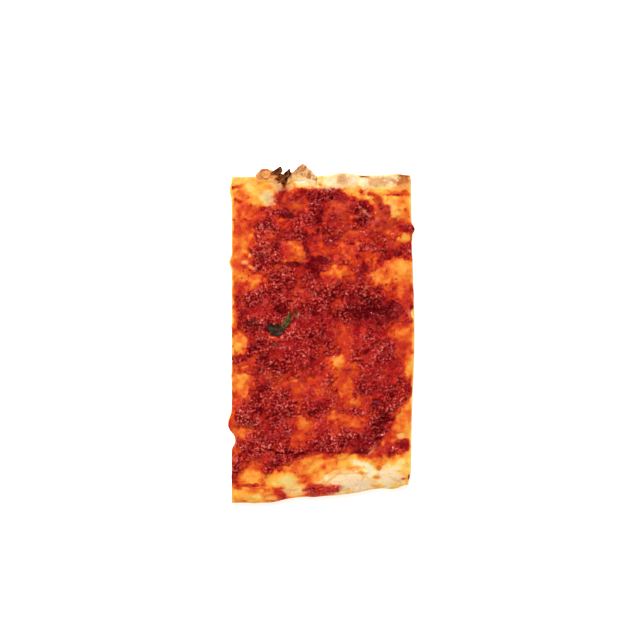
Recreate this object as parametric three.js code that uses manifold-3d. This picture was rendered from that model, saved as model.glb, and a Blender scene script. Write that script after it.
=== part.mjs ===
// A slice of pizza al taglio with tomato sauce, cut across a long pizza baked on the floor of the oven.
// Millimetres, +Z up. The slice lies on its flat underside, and its origin is the middle of its footprint.
// +X runs across the slice from one knife cut to the other, and +Y runs along it, from the near rim to
// the far rim, where a blister has burst and left two flaps and two charred scraps of crust.
import * as THREE from 'three';
import { mergeVertices } from 'three/addons/utils/BufferGeometryUtils.js';
import Module from 'manifold-3d';

// ---------------------------------------------------------------- driving dimensions
const CUT_HALF_WIDTH = 72;
const FAR_RIM = 124.6;
const NEAR_RIM = -135.3;
const NEAR_RIM_SLANT = 0.132;
const NEAR_RIM_TURN = -42;
const CRUMB_HEIGHT = 9.2;
const RIM_HEIGHT = 7.8;
const RIM_WIDTH = 8;
const RIM_UNDERCUT = 1.8;
const RIM_ROUNDING = 1.2;
const CUT_ROUGHNESS = 0.5;
const FLAP_THICKNESS = 2.4;
const SCRAP_THICKNESS = 1.5;
const PULP_THIN = 1;
const PULP_THICK = 2.3;
const PULP_SHOULDER = 7;
const TOUCHING_GAP = 0.3;
const LEAF_THICKNESS = 0.8;

// The grid that the crust and the sauce share
const COLUMNS = 30;
const ROWS = 53;
const UNDERCUT_ROWS = 3;
const ROW_CROWDING = 0.3;
const LEAST_OFFSET = 0.4;

// ---------------------------------------------------------------- outline
// Small bulges of an edge: where along it, how far each reaches and how far it stands out.
const LEFT_BULGES = [
  { at: 114, reach: 5, out: 1.6 },
  { at: 57, reach: 4, out: 1.8 },
  { at: -72, reach: 6.6, out: 2.9 },
  { at: -81.6, reach: 3, out: -1.8 },
  { at: -86.6, reach: 4, out: -2.7 },
];
const RIGHT_BULGES = [
  { at: 2, reach: 62, out: 2.8 },
  { at: 83.5, reach: 3.6, out: 2.9 },
  { at: -122, reach: 7, out: -2 },
];
const FAR_BULGES = [
  { at: 40, reach: 46, out: 1.2 },
  { at: 18, reach: 11, out: 2.2 },
  { at: 31, reach: 5, out: -0.6 },
  { at: 61, reach: 8, out: 1.2 },
];
const NEAR_BULGES = [
  { at: -22, reach: 13, out: 1.4 },
  { at: 22, reach: 18, out: -1.3 },
  { at: 61, reach: 7, out: -2 },
];

function bulge(list, along) {
  return list.reduce((sum, b) => sum + b.out * Math.exp(-(((along - b.at) / b.reach) ** 2)), 0);
}

const leftCut = (y) => -CUT_HALF_WIDTH - bulge(LEFT_BULGES, y);
const rightCut = (y) => CUT_HALF_WIDTH - 0.6 + bulge(RIGHT_BULGES, y);
const farRim = (x) => FAR_RIM + bulge(FAR_BULGES, x);
const nearRim = (x) => NEAR_RIM + NEAR_RIM_SLANT * Math.max(0, x - NEAR_RIM_TURN) + bulge(NEAR_BULGES, x);

// ---------------------------------------------------------------- relief
// Places where the dough swelled as it baked and shows through the sauce: its middle, half sizes, turn in
// degrees and lift. A patch of the cut edge has its middle near the edge.
const DOUGH_PATCHES = [
  { at: [-22.5, 104.5], half: [13.5, 9], turn: 0, lift: 2.2 },
  { at: [15, 97.5], half: [11, 10.5], turn: -10, lift: 1.8 },
  { at: [62, 98.6], half: [11.5, 10], turn: 0, lift: 2.4 },
  { at: [50, 86.5], half: [12, 5], turn: 8, lift: 1 },
  { at: [24, 78], half: [8, 3.6], turn: 4, lift: 1 },
  { at: [67, 76], half: [5.5, 4.5], turn: 10, lift: 0.6 },
  { at: [-25, 66], half: [4.6, 7], turn: 0, lift: 2 },
  { at: [-18, 63.5], half: [5.4, 5.4], turn: 0, lift: 2.2 },
  { at: [-69, 76], half: [13, 15], turn: 0, lift: 0.6 },
  { at: [-67, 52], half: [10.5, 15], turn: 0, lift: 1 },
  { at: [-53.5, 41], half: [5, 5], turn: 0, lift: 1.4 },
  { at: [60, 49.4], half: [19, 9.5], turn: 10, lift: 1.6 },
  { at: [67.5, 32], half: [6, 11], turn: 0, lift: 0.4 },
  { at: [13, 50], half: [10.5, 5.5], turn: -8, lift: 1.2 },
  { at: [-15.6, 31.4], half: [5, 3.4], turn: 25, lift: 1 },
  { at: [18, -6], half: [6, 10], turn: 12, lift: 0.8 },
  { at: [-67, -8.8], half: [6.6, 8.6], turn: 0, lift: 0.9 },
  { at: [-57.5, -24.5], half: [6.2, 4.2], turn: 40, lift: 1.2 },
  { at: [68, -5], half: [8.6, 12.5], turn: 15, lift: 0.9 },
  { at: [72, -25], half: [5, 10], turn: 0, lift: 0.6 },
  { at: [13, -24], half: [7.8, 5.6], turn: -40, lift: 1.8 },
  { at: [18.6, -40], half: [6.6, 10.5], turn: 8, lift: 1 },
  { at: [-16, -45.5], half: [12, 6], turn: -12, lift: 1 },
  { at: [-66.5, -41], half: [8.2, 10.5], turn: 0, lift: 1 },
  { at: [25.4, -55.4], half: [5.8, 3.2], turn: 4, lift: 1.8 },
  { at: [16.5, -69], half: [13.5, 3.6], turn: -8, lift: 0.8 },
  { at: [-14.5, -71], half: [4.2, 6], turn: 0, lift: 0.6 },
  { at: [-18.8, -83], half: [4.6, 3.4], turn: 10, lift: 0.6 },
  { at: [-67, -79.6], half: [7, 3], turn: 10, lift: 0.8 },
];
// Swellings that no sauce reaches, and the crack that runs down from the burst blister.
const BARE_SWELLINGS = [
  { at: [-28, 117], half: [30, 11], turn: 0, lift: 1.6 },
  { at: [-28.4, 116], half: [3.4, 10], turn: -8, lift: -4.4 },
  { at: [24, -118], half: [22, 8], turn: 6, lift: 1.8 },
  { at: [56.4, -114], half: [10, 7], turn: 8, lift: 1.4 },
  { at: [-34, -114], half: [15, 7], turn: 0, lift: 1.2 },
  { at: [17, 121], half: [9, 5], turn: 0, lift: 1.2 },
  { at: [40, 119.6], half: [11, 4.6], turn: 0, lift: 1.4 },
  { at: [64, 120], half: [9, 5.4], turn: 0, lift: 1.4 },
  { at: [50, 111], half: [22, 5], turn: 0, lift: 1 },
  { at: [-50, 108], half: [12, 8], turn: 35, lift: 1.4 },
];

// Where thick pulp ends towards either rim: places across the slice, and how far along it the pulp reaches.
const PULP_FAR_END = [
  [-76, 91], [-58, 92], [-46, 97], [-38, 100], [-34, 112], [-22, 115.4], [-5, 117], [8, 116.5], [16, 114],
  [22, 108], [30, 109], [37, 107.5], [41, 101], [43, 88], [55, 84.5], [64, 87.5], [76, 86],
];
const PULP_NEAR_END = [
  [-76, -121], [-67, -120], [-61, -109], [-56, -104.5], [-49, -106], [-45, -114.5], [-38, -110.5], [-27, -109],
  [-21, -103], [-15, -101.5], [-10, -99], [0, -97], [39, -96.8], [44, -91], [48, -83], [54, -77.5],
  [60, -71.5], [64, -62], [66.5, -56], [76, -50],
];

// Dabs of sauce that lie apart from the main layer, each of one or two round lobes.
const SAUCE_DABS = {
  rim_sauce_lump: [
    { at: [-2, -126], half: [10, 4.4], turn: 6 },
    { at: [10, -124], half: [9, 3.6], turn: 8 },
  ],
  rim_sauce_dab: [{ at: [-32.5, -128.6], half: [4.4, 4.6], turn: 20 }],
  corner_sauce_dab: [
    { at: [65.2, -89.4], half: [5, 4.6], turn: 0 },
    { at: [56.4, -94.6], half: [9.5, 3.8], turn: 14 },
  ],
};

const smooth = (t) => {
  const s = Math.min(1, Math.max(0, t));
  return s * s * (3 - 2 * s);
};

// Distance from a patch's rim in its own stretched frame, as about a real length: negative inside it.
function outsideOf(patch, x, y) {
  const turn = THREE.MathUtils.degToRad(patch.turn);
  const dx = x - patch.at[0];
  const dy = y - patch.at[1];
  const across = (dx * Math.cos(turn) + dy * Math.sin(turn)) / patch.half[0];
  const along = (dy * Math.cos(turn) - dx * Math.sin(turn)) / patch.half[1];
  return (Math.hypot(across, along) - 1) * Math.min(...patch.half);
}

function swelling(patch, x, y) {
  const depth = -outsideOf(patch, x, y) / Math.min(...patch.half);
  return patch.lift * smooth((depth + 0.35) / 1.1);
}

function gentleWaves(x, y) {
  return 0.55 * Math.sin(x * 0.11 + 1.3) * Math.sin(y * 0.083 + 0.4) + 0.35 * Math.sin(x * 0.23 - y * 0.17);
}

function lumps(x, y) {
  const fine = Math.sin(x * 0.71 + 2 * Math.sin(y * 0.33)) * Math.sin(y * 0.63 + 2 * Math.sin(x * 0.29));
  return 0.45 * fine + 0.3 * Math.sin(x * 0.37 + y * 0.52);
}

function crustTop(x, y) {
  const inFromRim = Math.max(0, Math.min(farRim(x) - y, y - nearRim(x)));
  const climb = 1 - (1 - Math.min(1, inFromRim / RIM_WIDTH)) ** 2;
  const swollen = [...DOUGH_PATCHES, ...BARE_SWELLINGS].reduce((sum, p) => sum + swelling(p, x, y), 0);
  const waves = gentleWaves(x, y) * smooth(inFromRim / 5);
  return RIM_HEIGHT + (CRUMB_HEIGHT - RIM_HEIGHT) * climb + swollen * smooth(inFromRim / 12) + waves;
}

// ---------------------------------------------------------------- sauce
function along(stations, x) {
  const next = Math.max(1, stations.findIndex((s) => s[0] > x));
  const [x0, y0] = stations[next - 1];
  const [x1, y1] = stations[next];
  return { y: THREE.MathUtils.lerp(y0, y1, (x - x0) / (x1 - x0)), slope: (y1 - y0) / (x1 - x0) };
}

// How far inside the main layer of pulp a point lies: negative where the dough is bare.
function insidePulp(x, y) {
  const far = along(PULP_FAR_END, x);
  const near = along(PULP_NEAR_END, x);
  const fromFar = (far.y - y) / Math.hypot(1, far.slope);
  const fromNear = (y - near.y) / Math.hypot(1, near.slope);
  const fromPatch = Math.min(...DOUGH_PATCHES.map((patch) => outsideOf(patch, x, y)));
  const ragged = 0.9 * Math.sin(x * 0.53 + 1.7 * Math.sin(y * 0.41)) * Math.cos(y * 0.47);
  return Math.min(fromFar, fromNear, fromPatch) + ragged;
}

function pulpThickness(inside, x, y) {
  return PULP_THIN + (PULP_THICK - PULP_THIN + lumps(x, y)) * smooth(inside / PULP_SHOULDER);
}

// ---------------------------------------------------------------- grid and closed bodies
// Rows crowd towards the two rims, where the crust curves most.
function gridPoint(column, row) {
  const u = column / COLUMNS;
  const t = row / ROWS;
  const v = t - (ROW_CROWDING * Math.sin(2 * Math.PI * t)) / (2 * Math.PI);
  const straightX = THREE.MathUtils.lerp(-CUT_HALF_WIDTH, CUT_HALF_WIDTH, u);
  const y = THREE.MathUtils.lerp(nearRim(straightX), farRim(straightX), v);
  return [THREE.MathUtils.lerp(leftCut(y), rightCut(y), u), y];
}

const gridIndex = (column, row) => row * (COLUMNS + 1) + column;
const gridPoints = [];
for (let row = 0; row <= ROWS; row += 1) {
  for (let column = 0; column <= COLUMNS; column += 1) gridPoints.push(gridPoint(column, row));
}

// Two triangles to a cell, with the diagonals turned about so that they make no ridge.
function cellTriangles(column, row) {
  const a = gridIndex(column, row);
  const b = gridIndex(column + 1, row);
  const c = gridIndex(column + 1, row + 1);
  const d = gridIndex(column, row + 1);
  return (column + row) % 2 ? [[a, b, d], [b, c, d]] : [[a, b, c], [a, c, d]];
}

const gridTriangles = [];
for (let row = 0; row < ROWS; row += 1) {
  for (let column = 0; column < COLUMNS; column += 1) gridTriangles.push(...cellTriangles(column, row));
}

// The part of the grid where a field is above zero, cut along the field's zero line.
function clipGrid(field) {
  const depth = gridPoints.map(([x, y]) => {
    const value = field(x, y);
    return Math.abs(value) < LEAST_OFFSET ? Math.sign(value || 1) * LEAST_OFFSET : value;
  });
  const points = [];
  const ids = new Map();
  const idOf = (key, point) => {
    if (!ids.has(key)) ids.set(key, points.push(point) - 1);
    return ids.get(key);
  };
  const triangles = [];
  for (const corners of gridTriangles) {
    const loop = [];
    corners.forEach((from, k) => {
      const to = corners[(k + 1) % 3];
      if (depth[from] > 0) loop.push(idOf(`${from}`, [...gridPoints[from], depth[from], from, from, 0]));
      if (depth[from] > 0 === depth[to] > 0) return;
      const [low, high] = from < to ? [from, to] : [to, from];
      const share = depth[low] / (depth[low] - depth[high]);
      const x = THREE.MathUtils.lerp(gridPoints[low][0], gridPoints[high][0], share);
      const y = THREE.MathUtils.lerp(gridPoints[low][1], gridPoints[high][1], share);
      loop.push(idOf(`${low}-${high}`, [x, y, 0, low, high, share]));
    });
    for (let k = 2; k < loop.length; k += 1) triangles.push([loop[0], loop[k - 1], loop[k]]);
  }
  return { points, triangles };
}

// The largest stretch of touching triangles: loose scraps of a layer are dropped.
function largestPiece(triangles, pointCount) {
  const leader = Array.from({ length: pointCount }, (_, k) => k);
  const find = (k) => {
    while (leader[k] !== k) k = leader[k] = leader[leader[k]];
    return k;
  };
  for (const [a, b, c] of triangles) {
    leader[find(b)] = find(a);
    leader[find(c)] = find(a);
  }
  const sizes = new Map();
  triangles.forEach(([a]) => sizes.set(find(a), (sizes.get(find(a)) || 0) + 1));
  const best = [...sizes.entries()].reduce((x, y) => (y[1] > x[1] ? y : x))[0];
  return triangles.filter(([a]) => find(a) === best);
}

// The edges that only one triangle has, each in that triangle's direction.
function openEdges(triangles) {
  const seen = new Set();
  for (const t of triangles) t.forEach((from, k) => seen.add(`${from}>${t[(k + 1) % 3]}`));
  return [...seen].map((key) => key.split('>').map(Number)).filter(([from, to]) => !seen.has(`${to}>${from}`));
}

// A sheet of triangles with an upper and a lower point for each of its points becomes a closed body.
function closedSheet(upper, lower, triangles) {
  const count = upper.length;
  const faces = [...triangles, ...triangles.map(([a, b, c]) => [a + count, c + count, b + count])];
  for (const [from, to] of openEdges(triangles)) {
    faces.push([to, from, from + count], [to, from + count, to + count]);
  }
  return bodyOf([...upper, ...lower], faces);
}

function bodyOf(points, faces) {
  const geometry = new THREE.BufferGeometry();
  const corners = faces.flatMap((face) => face.flatMap((k) => points[k]));
  geometry.setAttribute('position', new THREE.Float32BufferAttribute(corners, 3));
  return mergeVertices(geometry, 1e-4);
}

const wasm = await Module();
wasm.setup();

function toSolid(geometry) {
  const vertProperties = new Float32Array(geometry.attributes.position.array);
  const triVerts = new Uint32Array(geometry.index.array);
  return new wasm.Manifold(new wasm.Mesh({ numProp: 3, vertProperties, triVerts }));
}

function fromSolid(solid) {
  const mesh = solid.getMesh();
  const geometry = new THREE.BufferGeometry();
  geometry.setAttribute('position', new THREE.BufferAttribute(new Float32Array(mesh.vertProperties), 3));
  geometry.setIndex(new THREE.BufferAttribute(new Uint32Array(mesh.triVerts), 1));
  return geometry;
}

// ---------------------------------------------------------------- crust
// The wall goes round the slice in two steps: rounded and lifted at the rims, upright at the cuts.
function crustSlab() {
  const points = gridPoints.map(([x, y]) => [x, y, crustTop(x, y)]);
  const faces = [...gridTriangles];

  const border = [];
  for (let column = 0; column < COLUMNS; column += 1) border.push(gridIndex(column, 0));
  for (let row = 0; row < ROWS; row += 1) border.push(gridIndex(COLUMNS, row));
  for (let column = COLUMNS; column > 0; column -= 1) border.push(gridIndex(column, ROWS));
  for (let row = ROWS; row > 0; row -= 1) border.push(gridIndex(0, row));

  const rimLift = (x, y) => {
    const inFromRim = Math.min(farRim(x) - y, y - nearRim(x));
    return RIM_UNDERCUT * (1 - smooth(inFromRim / 9));
  };
  const middleOf = new Map();
  const undersideOf = new Map();
  const addUnderside = (k) => {
    if (undersideOf.has(k)) return;
    const [x, y] = gridPoints[k];
    undersideOf.set(k, points.push([x, y, rimLift(x, y)]) - 1);
  };
  border.forEach((k) => {
    const [x, y] = gridPoints[k];
    const row = Math.floor(k / (COLUMNS + 1));
    const column = k % (COLUMNS + 1);
    const sideways = column === 0 ? -1 : Number(column === COLUMNS);
    const endways = row === 0 ? -1 : Number(row === ROWS);
    const rough = CUT_ROUGHNESS * Math.sin(row * 2.1 + column);
    const middle = [
      x + sideways * rough,
      y + endways * RIM_ROUNDING,
      (crustTop(x, y) + rimLift(x, y)) * (endways ? 0.5 : 0.45),
    ];
    middleOf.set(k, points.push(middle) - 1);
    addUnderside(k);
  });

  const bands = [];
  for (let row = 0; row < ROWS; row += 1) {
    if (row < UNDERCUT_ROWS || row >= ROWS - UNDERCUT_ROWS) bands.push(row);
  }
  for (const row of bands) {
    for (let column = 0; column <= COLUMNS; column += 1) {
      addUnderside(gridIndex(column, row));
      addUnderside(gridIndex(column, row + 1));
    }
    for (let column = 0; column < COLUMNS; column += 1) {
      for (const [a, b, c] of cellTriangles(column, row)) {
        faces.push([undersideOf.get(a), undersideOf.get(c), undersideOf.get(b)]);
      }
    }
  }

  // The flat underside between the two lifted bands is one polygon.
  const flat = [];
  for (let column = 0; column <= COLUMNS; column += 1) flat.push(gridIndex(column, UNDERCUT_ROWS));
  for (let row = UNDERCUT_ROWS + 1; row < ROWS - UNDERCUT_ROWS; row += 1) flat.push(gridIndex(COLUMNS, row));
  for (let column = COLUMNS; column >= 0; column -= 1) flat.push(gridIndex(column, ROWS - UNDERCUT_ROWS));
  for (let row = ROWS - UNDERCUT_ROWS - 1; row > UNDERCUT_ROWS; row -= 1) flat.push(gridIndex(0, row));
  const contour = flat.map((k) => new THREE.Vector2(...gridPoints[k]));
  for (const [a, b, c] of THREE.ShapeUtils.triangulateShape(contour, [])) {
    faces.push([undersideOf.get(flat[a]), undersideOf.get(flat[c]), undersideOf.get(flat[b])]);
  }
  flat.forEach((k) => {
    points[undersideOf.get(k)][2] = 0;
  });

  border.forEach((from, k) => {
    const to = border[(k + 1) % border.length];
    const rings = [from, to, middleOf.get(from), middleOf.get(to), undersideOf.get(from), undersideOf.get(to)];
    const [a, b, c, d, e, f] = rings;
    faces.push([a, c, b], [b, c, d], [c, e, d], [d, e, f]);
  });
  return bodyOf(points, faces);
}

// A thin tongue of crust: it grows out of the slab from a root line to a curved tip and curls upwards.
function crustTongue({ from, to, reach, lean, profile, rootHeight, rise, ripple, thickness }) {
  const across = 9;
  const outward = 6;
  const upper = [];
  const lower = [];
  const triangles = [];
  const width = Math.hypot(to[0] - from[0], to[1] - from[1]);
  const side = [(to[0] - from[0]) / width, (to[1] - from[1]) / width];
  for (let j = 0; j <= outward; j += 1) {
    for (let i = 0; i <= across; i += 1) {
      const s = i / across;
      const t = j / outward;
      const length = reach * profile(s) * t;
      const shift = width * s + lean * t;
      const x = from[0] + side[0] * shift - side[1] * length;
      const y = from[1] + side[1] * shift + side[0] * length;
      const z = rootHeight + rise * t ** 1.4 + ripple * Math.sin(s * 7 + t * 3) * t;
      const half = (thickness / 2) * (1 - 0.35 * t);
      upper.push([x, y, z + half]);
      lower.push([x, y, z - half]);
      if (i === across || j === outward) continue;
      const a = j * (across + 1) + i;
      triangles.push([a, a + 1, a + across + 2], [a, a + across + 2, a + across + 1]);
    }
  }
  return closedSheet(upper, lower, triangles);
}

// Height of a tongue's edge across its width: pointed at its peak and low at both corners.
const peaked = (peak, shoulder) => (s) => {
  const fall = s < peak ? (peak - s) / peak : (s - peak) / (1 - peak);
  return 1 - (1 - shoulder) * fall;
};

const TONGUES = [
  // The two flaps of the burst blister
  {
    from: [-52.4, 117], to: [-30.6, 117], reach: 15.6, lean: 0, profile: peaked(0.26, 0.64),
    rootHeight: 9, rise: 2, ripple: 0.4, thickness: FLAP_THICKNESS,
  },
  {
    from: [-28, 117], to: [-3.4, 117], reach: 19.8, lean: 0, profile: peaked(0.57, 0.42),
    rootHeight: 8.2, rise: 4, ripple: 0.5, thickness: FLAP_THICKNESS,
  },
  // The two charred scraps between them
  {
    from: [-41.6, 127], to: [-34, 126], reach: 7.6, lean: 3.2, profile: peaked(0.7, 0.5),
    rootHeight: 11.8, rise: 2, ripple: 0.6, thickness: SCRAP_THICKNESS,
  },
  {
    from: [-35.4, 120], to: [-29.8, 119], reach: 13, lean: 4.4, profile: peaked(0.55, 0.7),
    rootHeight: 9.8, rise: 4, ripple: 0.7, thickness: SCRAP_THICKNESS,
  },
];

function crust() {
  const slab = toSolid(crustSlab());
  return fromSolid(TONGUES.reduce((solid, tongue) => solid.add(toSolid(crustTongue(tongue))), slab));
}

// ---------------------------------------------------------------- sauce bodies
// A layer of sauce follows the crust's own facets a small gap above them, so that it lies on them closely.
function sauceLayer(field) {
  const { points, triangles } = clipGrid(field);
  const crustHeights = gridPoints.map(([x, y]) => crustTop(x, y));
  const lower = points.map(([x, y, , low, high, share]) => {
    const z = THREE.MathUtils.lerp(crustHeights[low], crustHeights[high], share);
    return [x, y, z + TOUCHING_GAP];
  });
  const upper = lower.map(([x, y, z], k) => [x, y, z + pulpThickness(points[k][2], x, y)]);
  return closedSheet(upper, lower, largestPiece(triangles, points.length));
}

function insideDab(lobes) {
  return (x, y) => Math.max(...lobes.map((lobe) => -outsideOf(lobe, x, y)));
}

// ---------------------------------------------------------------- basil
// A torn scrap of basil leaf: its midrib runs from its torn end round a bend to the point of its folded part.
const LEAF_TORN_END = new THREE.Vector2(-42.4, 6);
const LEAF_BEND = new THREE.Vector2(-30, -3.4);
const LEAF_POINT = new THREE.Vector2(-24.8, 17.2);
const LEAF_HALF_WIDTH = 5.3;
const FOLD_HALF_WIDTH = 2.5;
const LEAF_SHARE = 0.6;

function basilLeaf() {
  const steps = 18;
  const across = 6;
  const midrib = new THREE.QuadraticBezierCurve(LEAF_TORN_END, LEAF_BEND, LEAF_POINT);
  const upper = [];
  const lower = [];
  const triangles = [];
  for (let j = 0; j <= steps; j += 1) {
    const t = j / steps;
    const ridge = midrib.getPoint(t);
    const ahead = midrib.getTangent(t);
    const leafShare = Math.min(1, t / LEAF_SHARE);
    const blade = LEAF_HALF_WIDTH * Math.sin(Math.PI * (0.1 + 0.86 * leafShare)) ** 0.7;
    const narrow = FOLD_HALF_WIDTH * Math.sqrt(Math.min(1, Math.max(0.1, (1 - t) / 0.2)));
    const folded = smooth((t - LEAF_SHARE * 0.8) / 0.14);
    const half = THREE.MathUtils.lerp(blade, narrow, folded);
    for (let i = 0; i <= across; i += 1) {
      const w = (2 * i) / across - 1;
      const x = ridge.x - ahead.y * w * half;
      const y = ridge.y + ahead.x * w * half;
      const cup = 0.9 * w * w + 0.35 * Math.sin(t * 16 + w * 2);
      const roof = 1.7 * (1 - Math.abs(w));
      const bed = crustTop(x, y) + TOUCHING_GAP + pulpThickness(insidePulp(x, y), x, y);
      const z = bed + 0.9 + THREE.MathUtils.lerp(cup, roof, folded);
      upper.push([x, y, z + LEAF_THICKNESS]);
      lower.push([x, y, z]);
      if (i === across || j === steps) continue;
      const a = j * (across + 1) + i;
      triangles.push([a, a + across + 2, a + 1], [a, a + across + 1, a + across + 2]);
    }
  }
  return closedSheet(upper, lower, triangles);
}

// ---------------------------------------------------------------- scene
const FINISHES = {
  crust: new THREE.MeshStandardMaterial({ color: 0xeab266, roughness: 0.75, metalness: 0 }),
  sauce: new THREE.MeshStandardMaterial({ color: 0x9c1c10, roughness: 0.35, metalness: 0 }),
  basil: new THREE.MeshStandardMaterial({ color: 0x2c3a1c, roughness: 0.6, metalness: 0 }),
};

const slice = new THREE.Group();

function addPiece(name, geometry, finish) {
  const mesh = new THREE.Mesh(geometry, finish);
  mesh.name = name;
  slice.add(mesh);
}

addPiece('crust', crust(), FINISHES.crust);
addPiece('tomato_sauce', sauceLayer(insidePulp), FINISHES.sauce);
for (const [name, lobes] of Object.entries(SAUCE_DABS)) {
  addPiece(name, sauceLayer(insideDab(lobes)), FINISHES.sauce);
}
addPiece('basil_leaf', basilLeaf(), FINISHES.basil);

export default slice;
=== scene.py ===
"""A slice of pizza al taglio with rough tomato sauce, lying on a pale floor and seen from straight above.

Shapes are worked out in millimetres, as the solids' are, and become metres when a mesh is made.
"""
import math

import bpy
import numpy as np
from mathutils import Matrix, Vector


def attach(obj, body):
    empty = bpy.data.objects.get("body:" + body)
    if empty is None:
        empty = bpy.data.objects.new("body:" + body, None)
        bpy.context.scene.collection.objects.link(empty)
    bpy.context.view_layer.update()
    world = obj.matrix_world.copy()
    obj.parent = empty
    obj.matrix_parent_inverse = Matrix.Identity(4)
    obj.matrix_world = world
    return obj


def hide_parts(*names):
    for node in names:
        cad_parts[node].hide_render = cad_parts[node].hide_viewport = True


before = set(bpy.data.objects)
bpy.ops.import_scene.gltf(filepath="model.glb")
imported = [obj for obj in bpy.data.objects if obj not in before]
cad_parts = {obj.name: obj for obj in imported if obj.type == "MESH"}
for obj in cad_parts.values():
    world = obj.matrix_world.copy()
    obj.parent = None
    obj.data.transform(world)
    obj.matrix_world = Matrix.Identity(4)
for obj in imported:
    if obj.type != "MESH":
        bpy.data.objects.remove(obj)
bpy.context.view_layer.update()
MM = 0.001

# ------------------------------------------------------------------ driving dimensions
CUT_HALF_WIDTH = 72
RIGHT_CUT_INSET = 0.6
FAR_RIM = 124.6
NEAR_RIM = -135.3
NEAR_RIM_SLANT = 0.132
NEAR_RIM_TURN = -42
CRUMB_HEIGHT = 9.2
RIM_HEIGHT = 7.8
RIM_WIDTH = 8
RIM_UNDERCUT = 1.8
RIM_ROUNDING = 1.2
FLAP_THICKNESS = 2.2
SCRAP_THICKNESS = 1.1
PULP_EDGE = 1.0
PULP_THICK = 2.3
PULP_SHOULDER = 7
# How far the pulp's edge sinks into the dough, how deep its underside lies and how far in at a cut.
PULP_SKIRT = 0.45
PULP_ROOT = 1.6
PULP_TUCK = 0.8
WINDOW_SOFTNESS = 0.5

CRUST_COLUMNS = 200
CRUST_ROWS = 350
CRUST_CROWDING = 0.35
WALL_STEPS = 14
UNDERSIDE_STEP = 5
PULP_COLUMNS = 254
PULP_ROWS = 422
PULP_BLOCK = 4
# The shares across and along the slice that the grid of the main pulp spans.
PULP_SPAN = (0, 1, 0.04, 0.98)
CLUMP = 7
COARSE_GRAIN = 3.2
FINE_GRAIN = 1.6
DAB_GRAIN = 0.5
DAB_MARGIN = 4
# How much further a dab's grid reaches down and up, because the near rim slants.
DAB_SLACK = (10, 4)
# Columns and rows of the grid of a tongue of crust and of the leaf.
TONGUE_GRID = (64, 48)
LEAF_GRID = (40, 120)
# Lumps that lie on the pulp and on the stained dough, and the most of them a square metre.
PULP_LUMPS = {"Spacing": 2.6, "Smallest": 0.7, "Largest": 1.9, "Flatness": 0.5, "Roughness": 3.6}
STRAY_LUMPS = {"Spacing": 4.5, "Smallest": 0.3, "Largest": 1.2, "Flatness": 0.35, "Roughness": 2.2}
DENSEST = 4e5
# How fine the noise is that roughens the lumps, in waves a metre.
WOBBLE_SCALE = 480

# Small bulges of an edge: where along it, how far each reaches and how far it stands out.
LEFT_BULGES = ((114, 5, 1.6), (57, 4, 1.8), (-72, 6.6, 2.9), (-81.6, 3, -1.8), (-86.6, 4, -2.7))
RIGHT_BULGES = ((2, 62, 2.8), (83.5, 3.6, 2.9), (-122, 7, -2))
FAR_BULGES = ((40, 46, 1.2), (18, 11, 2.2), (31, 5, -0.6), (61, 8, 1.2))
NEAR_BULGES = ((-22, 13, 1.4), (22, 18, -1.3), (61, 7, -2))
# Where the knife left bare crumb beside the sauce: side, middle, half length and width.
BARE_CUTS = ((-1, 23, 22, 2.6), (-1, -38, 20, 1.2), (1, 12, 12, 1.6), (1, -52, 26, 1.0), (-1, 92, 8, 1.2))

# Dough that swelled as it baked and shows through the sauce: middle, half sizes, turn in degrees, lift.
DOUGH_PATCHES = (
    (-22.5, 104.5, 13.5, 9, 0, 2.2),
    (15, 97.5, 11, 10.5, -10, 1.8),
    (62, 98.6, 11.5, 10, 0, 2.4),
    (50, 86.5, 12, 5, 8, 1),
    (24, 78, 8, 3.6, 4, 1),
    (67, 76, 5.5, 4.5, 10, 0.6),
    (-25, 66, 4.6, 7, 0, 2),
    (-18, 63.5, 5.4, 5.4, 0, 2.2),
    (-69, 76, 13, 15, 0, 0.6),
    (-67, 52, 10.5, 15, 0, 1),
    (-53.5, 41, 5, 5, 0, 1.4),
    (60, 49.4, 19, 9.5, 10, 1.6),
    (67.5, 32, 6, 11, 0, 0.4),
    (13, 50, 10.5, 5.5, -8, 1.2),
    (-15.6, 31.4, 5, 3.4, 25, 1),
    (18, -6, 6, 10, 12, 0.8),
    (-67, -8.8, 6.6, 8.6, 0, 0.9),
    (-57.5, -24.5, 6.2, 4.2, 40, 1.2),
    (68, -5, 8.6, 12.5, 15, 0.9),
    (72, -25, 5, 10, 0, 0.6),
    (13, -24, 7.8, 5.6, -40, 1.8),
    (18.6, -40, 6.6, 10.5, 8, 1),
    (-16, -45.5, 12, 6, -12, 1),
    (-66.5, -41, 8.2, 10.5, 0, 1),
    (25.4, -55.4, 5.8, 3.2, 4, 1.8),
    (16.5, -69, 13.5, 3.6, -8, 0.8),
    (-14.5, -71, 4.2, 6, 0, 0.6),
    (-18.8, -83, 4.6, 3.4, 10, 0.6),
    (-67, -79.6, 7, 3, 10, 0.8),
)
# Swellings that no sauce reaches, and the crack that runs down from the burst blister.
BARE_SWELLINGS = (
    (-28, 117, 30, 11, 0, 1.6),
    (-28.4, 116, 3.4, 10, -8, -4.4),
    (24, -118, 22, 8, 6, 1.8),
    (56.4, -114, 10, 7, 8, 1.4),
    (-34, -114, 15, 7, 0, 1.2),
    (17, 121, 9, 5, 0, 1.2),
    (40, 119.6, 11, 4.6, 0, 1.4),
    (64, 120, 9, 5.4, 0, 1.4),
    (50, 111, 22, 5, 0, 1),
    (-50, 108, 12, 8, 35, 1.4),
)
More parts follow.
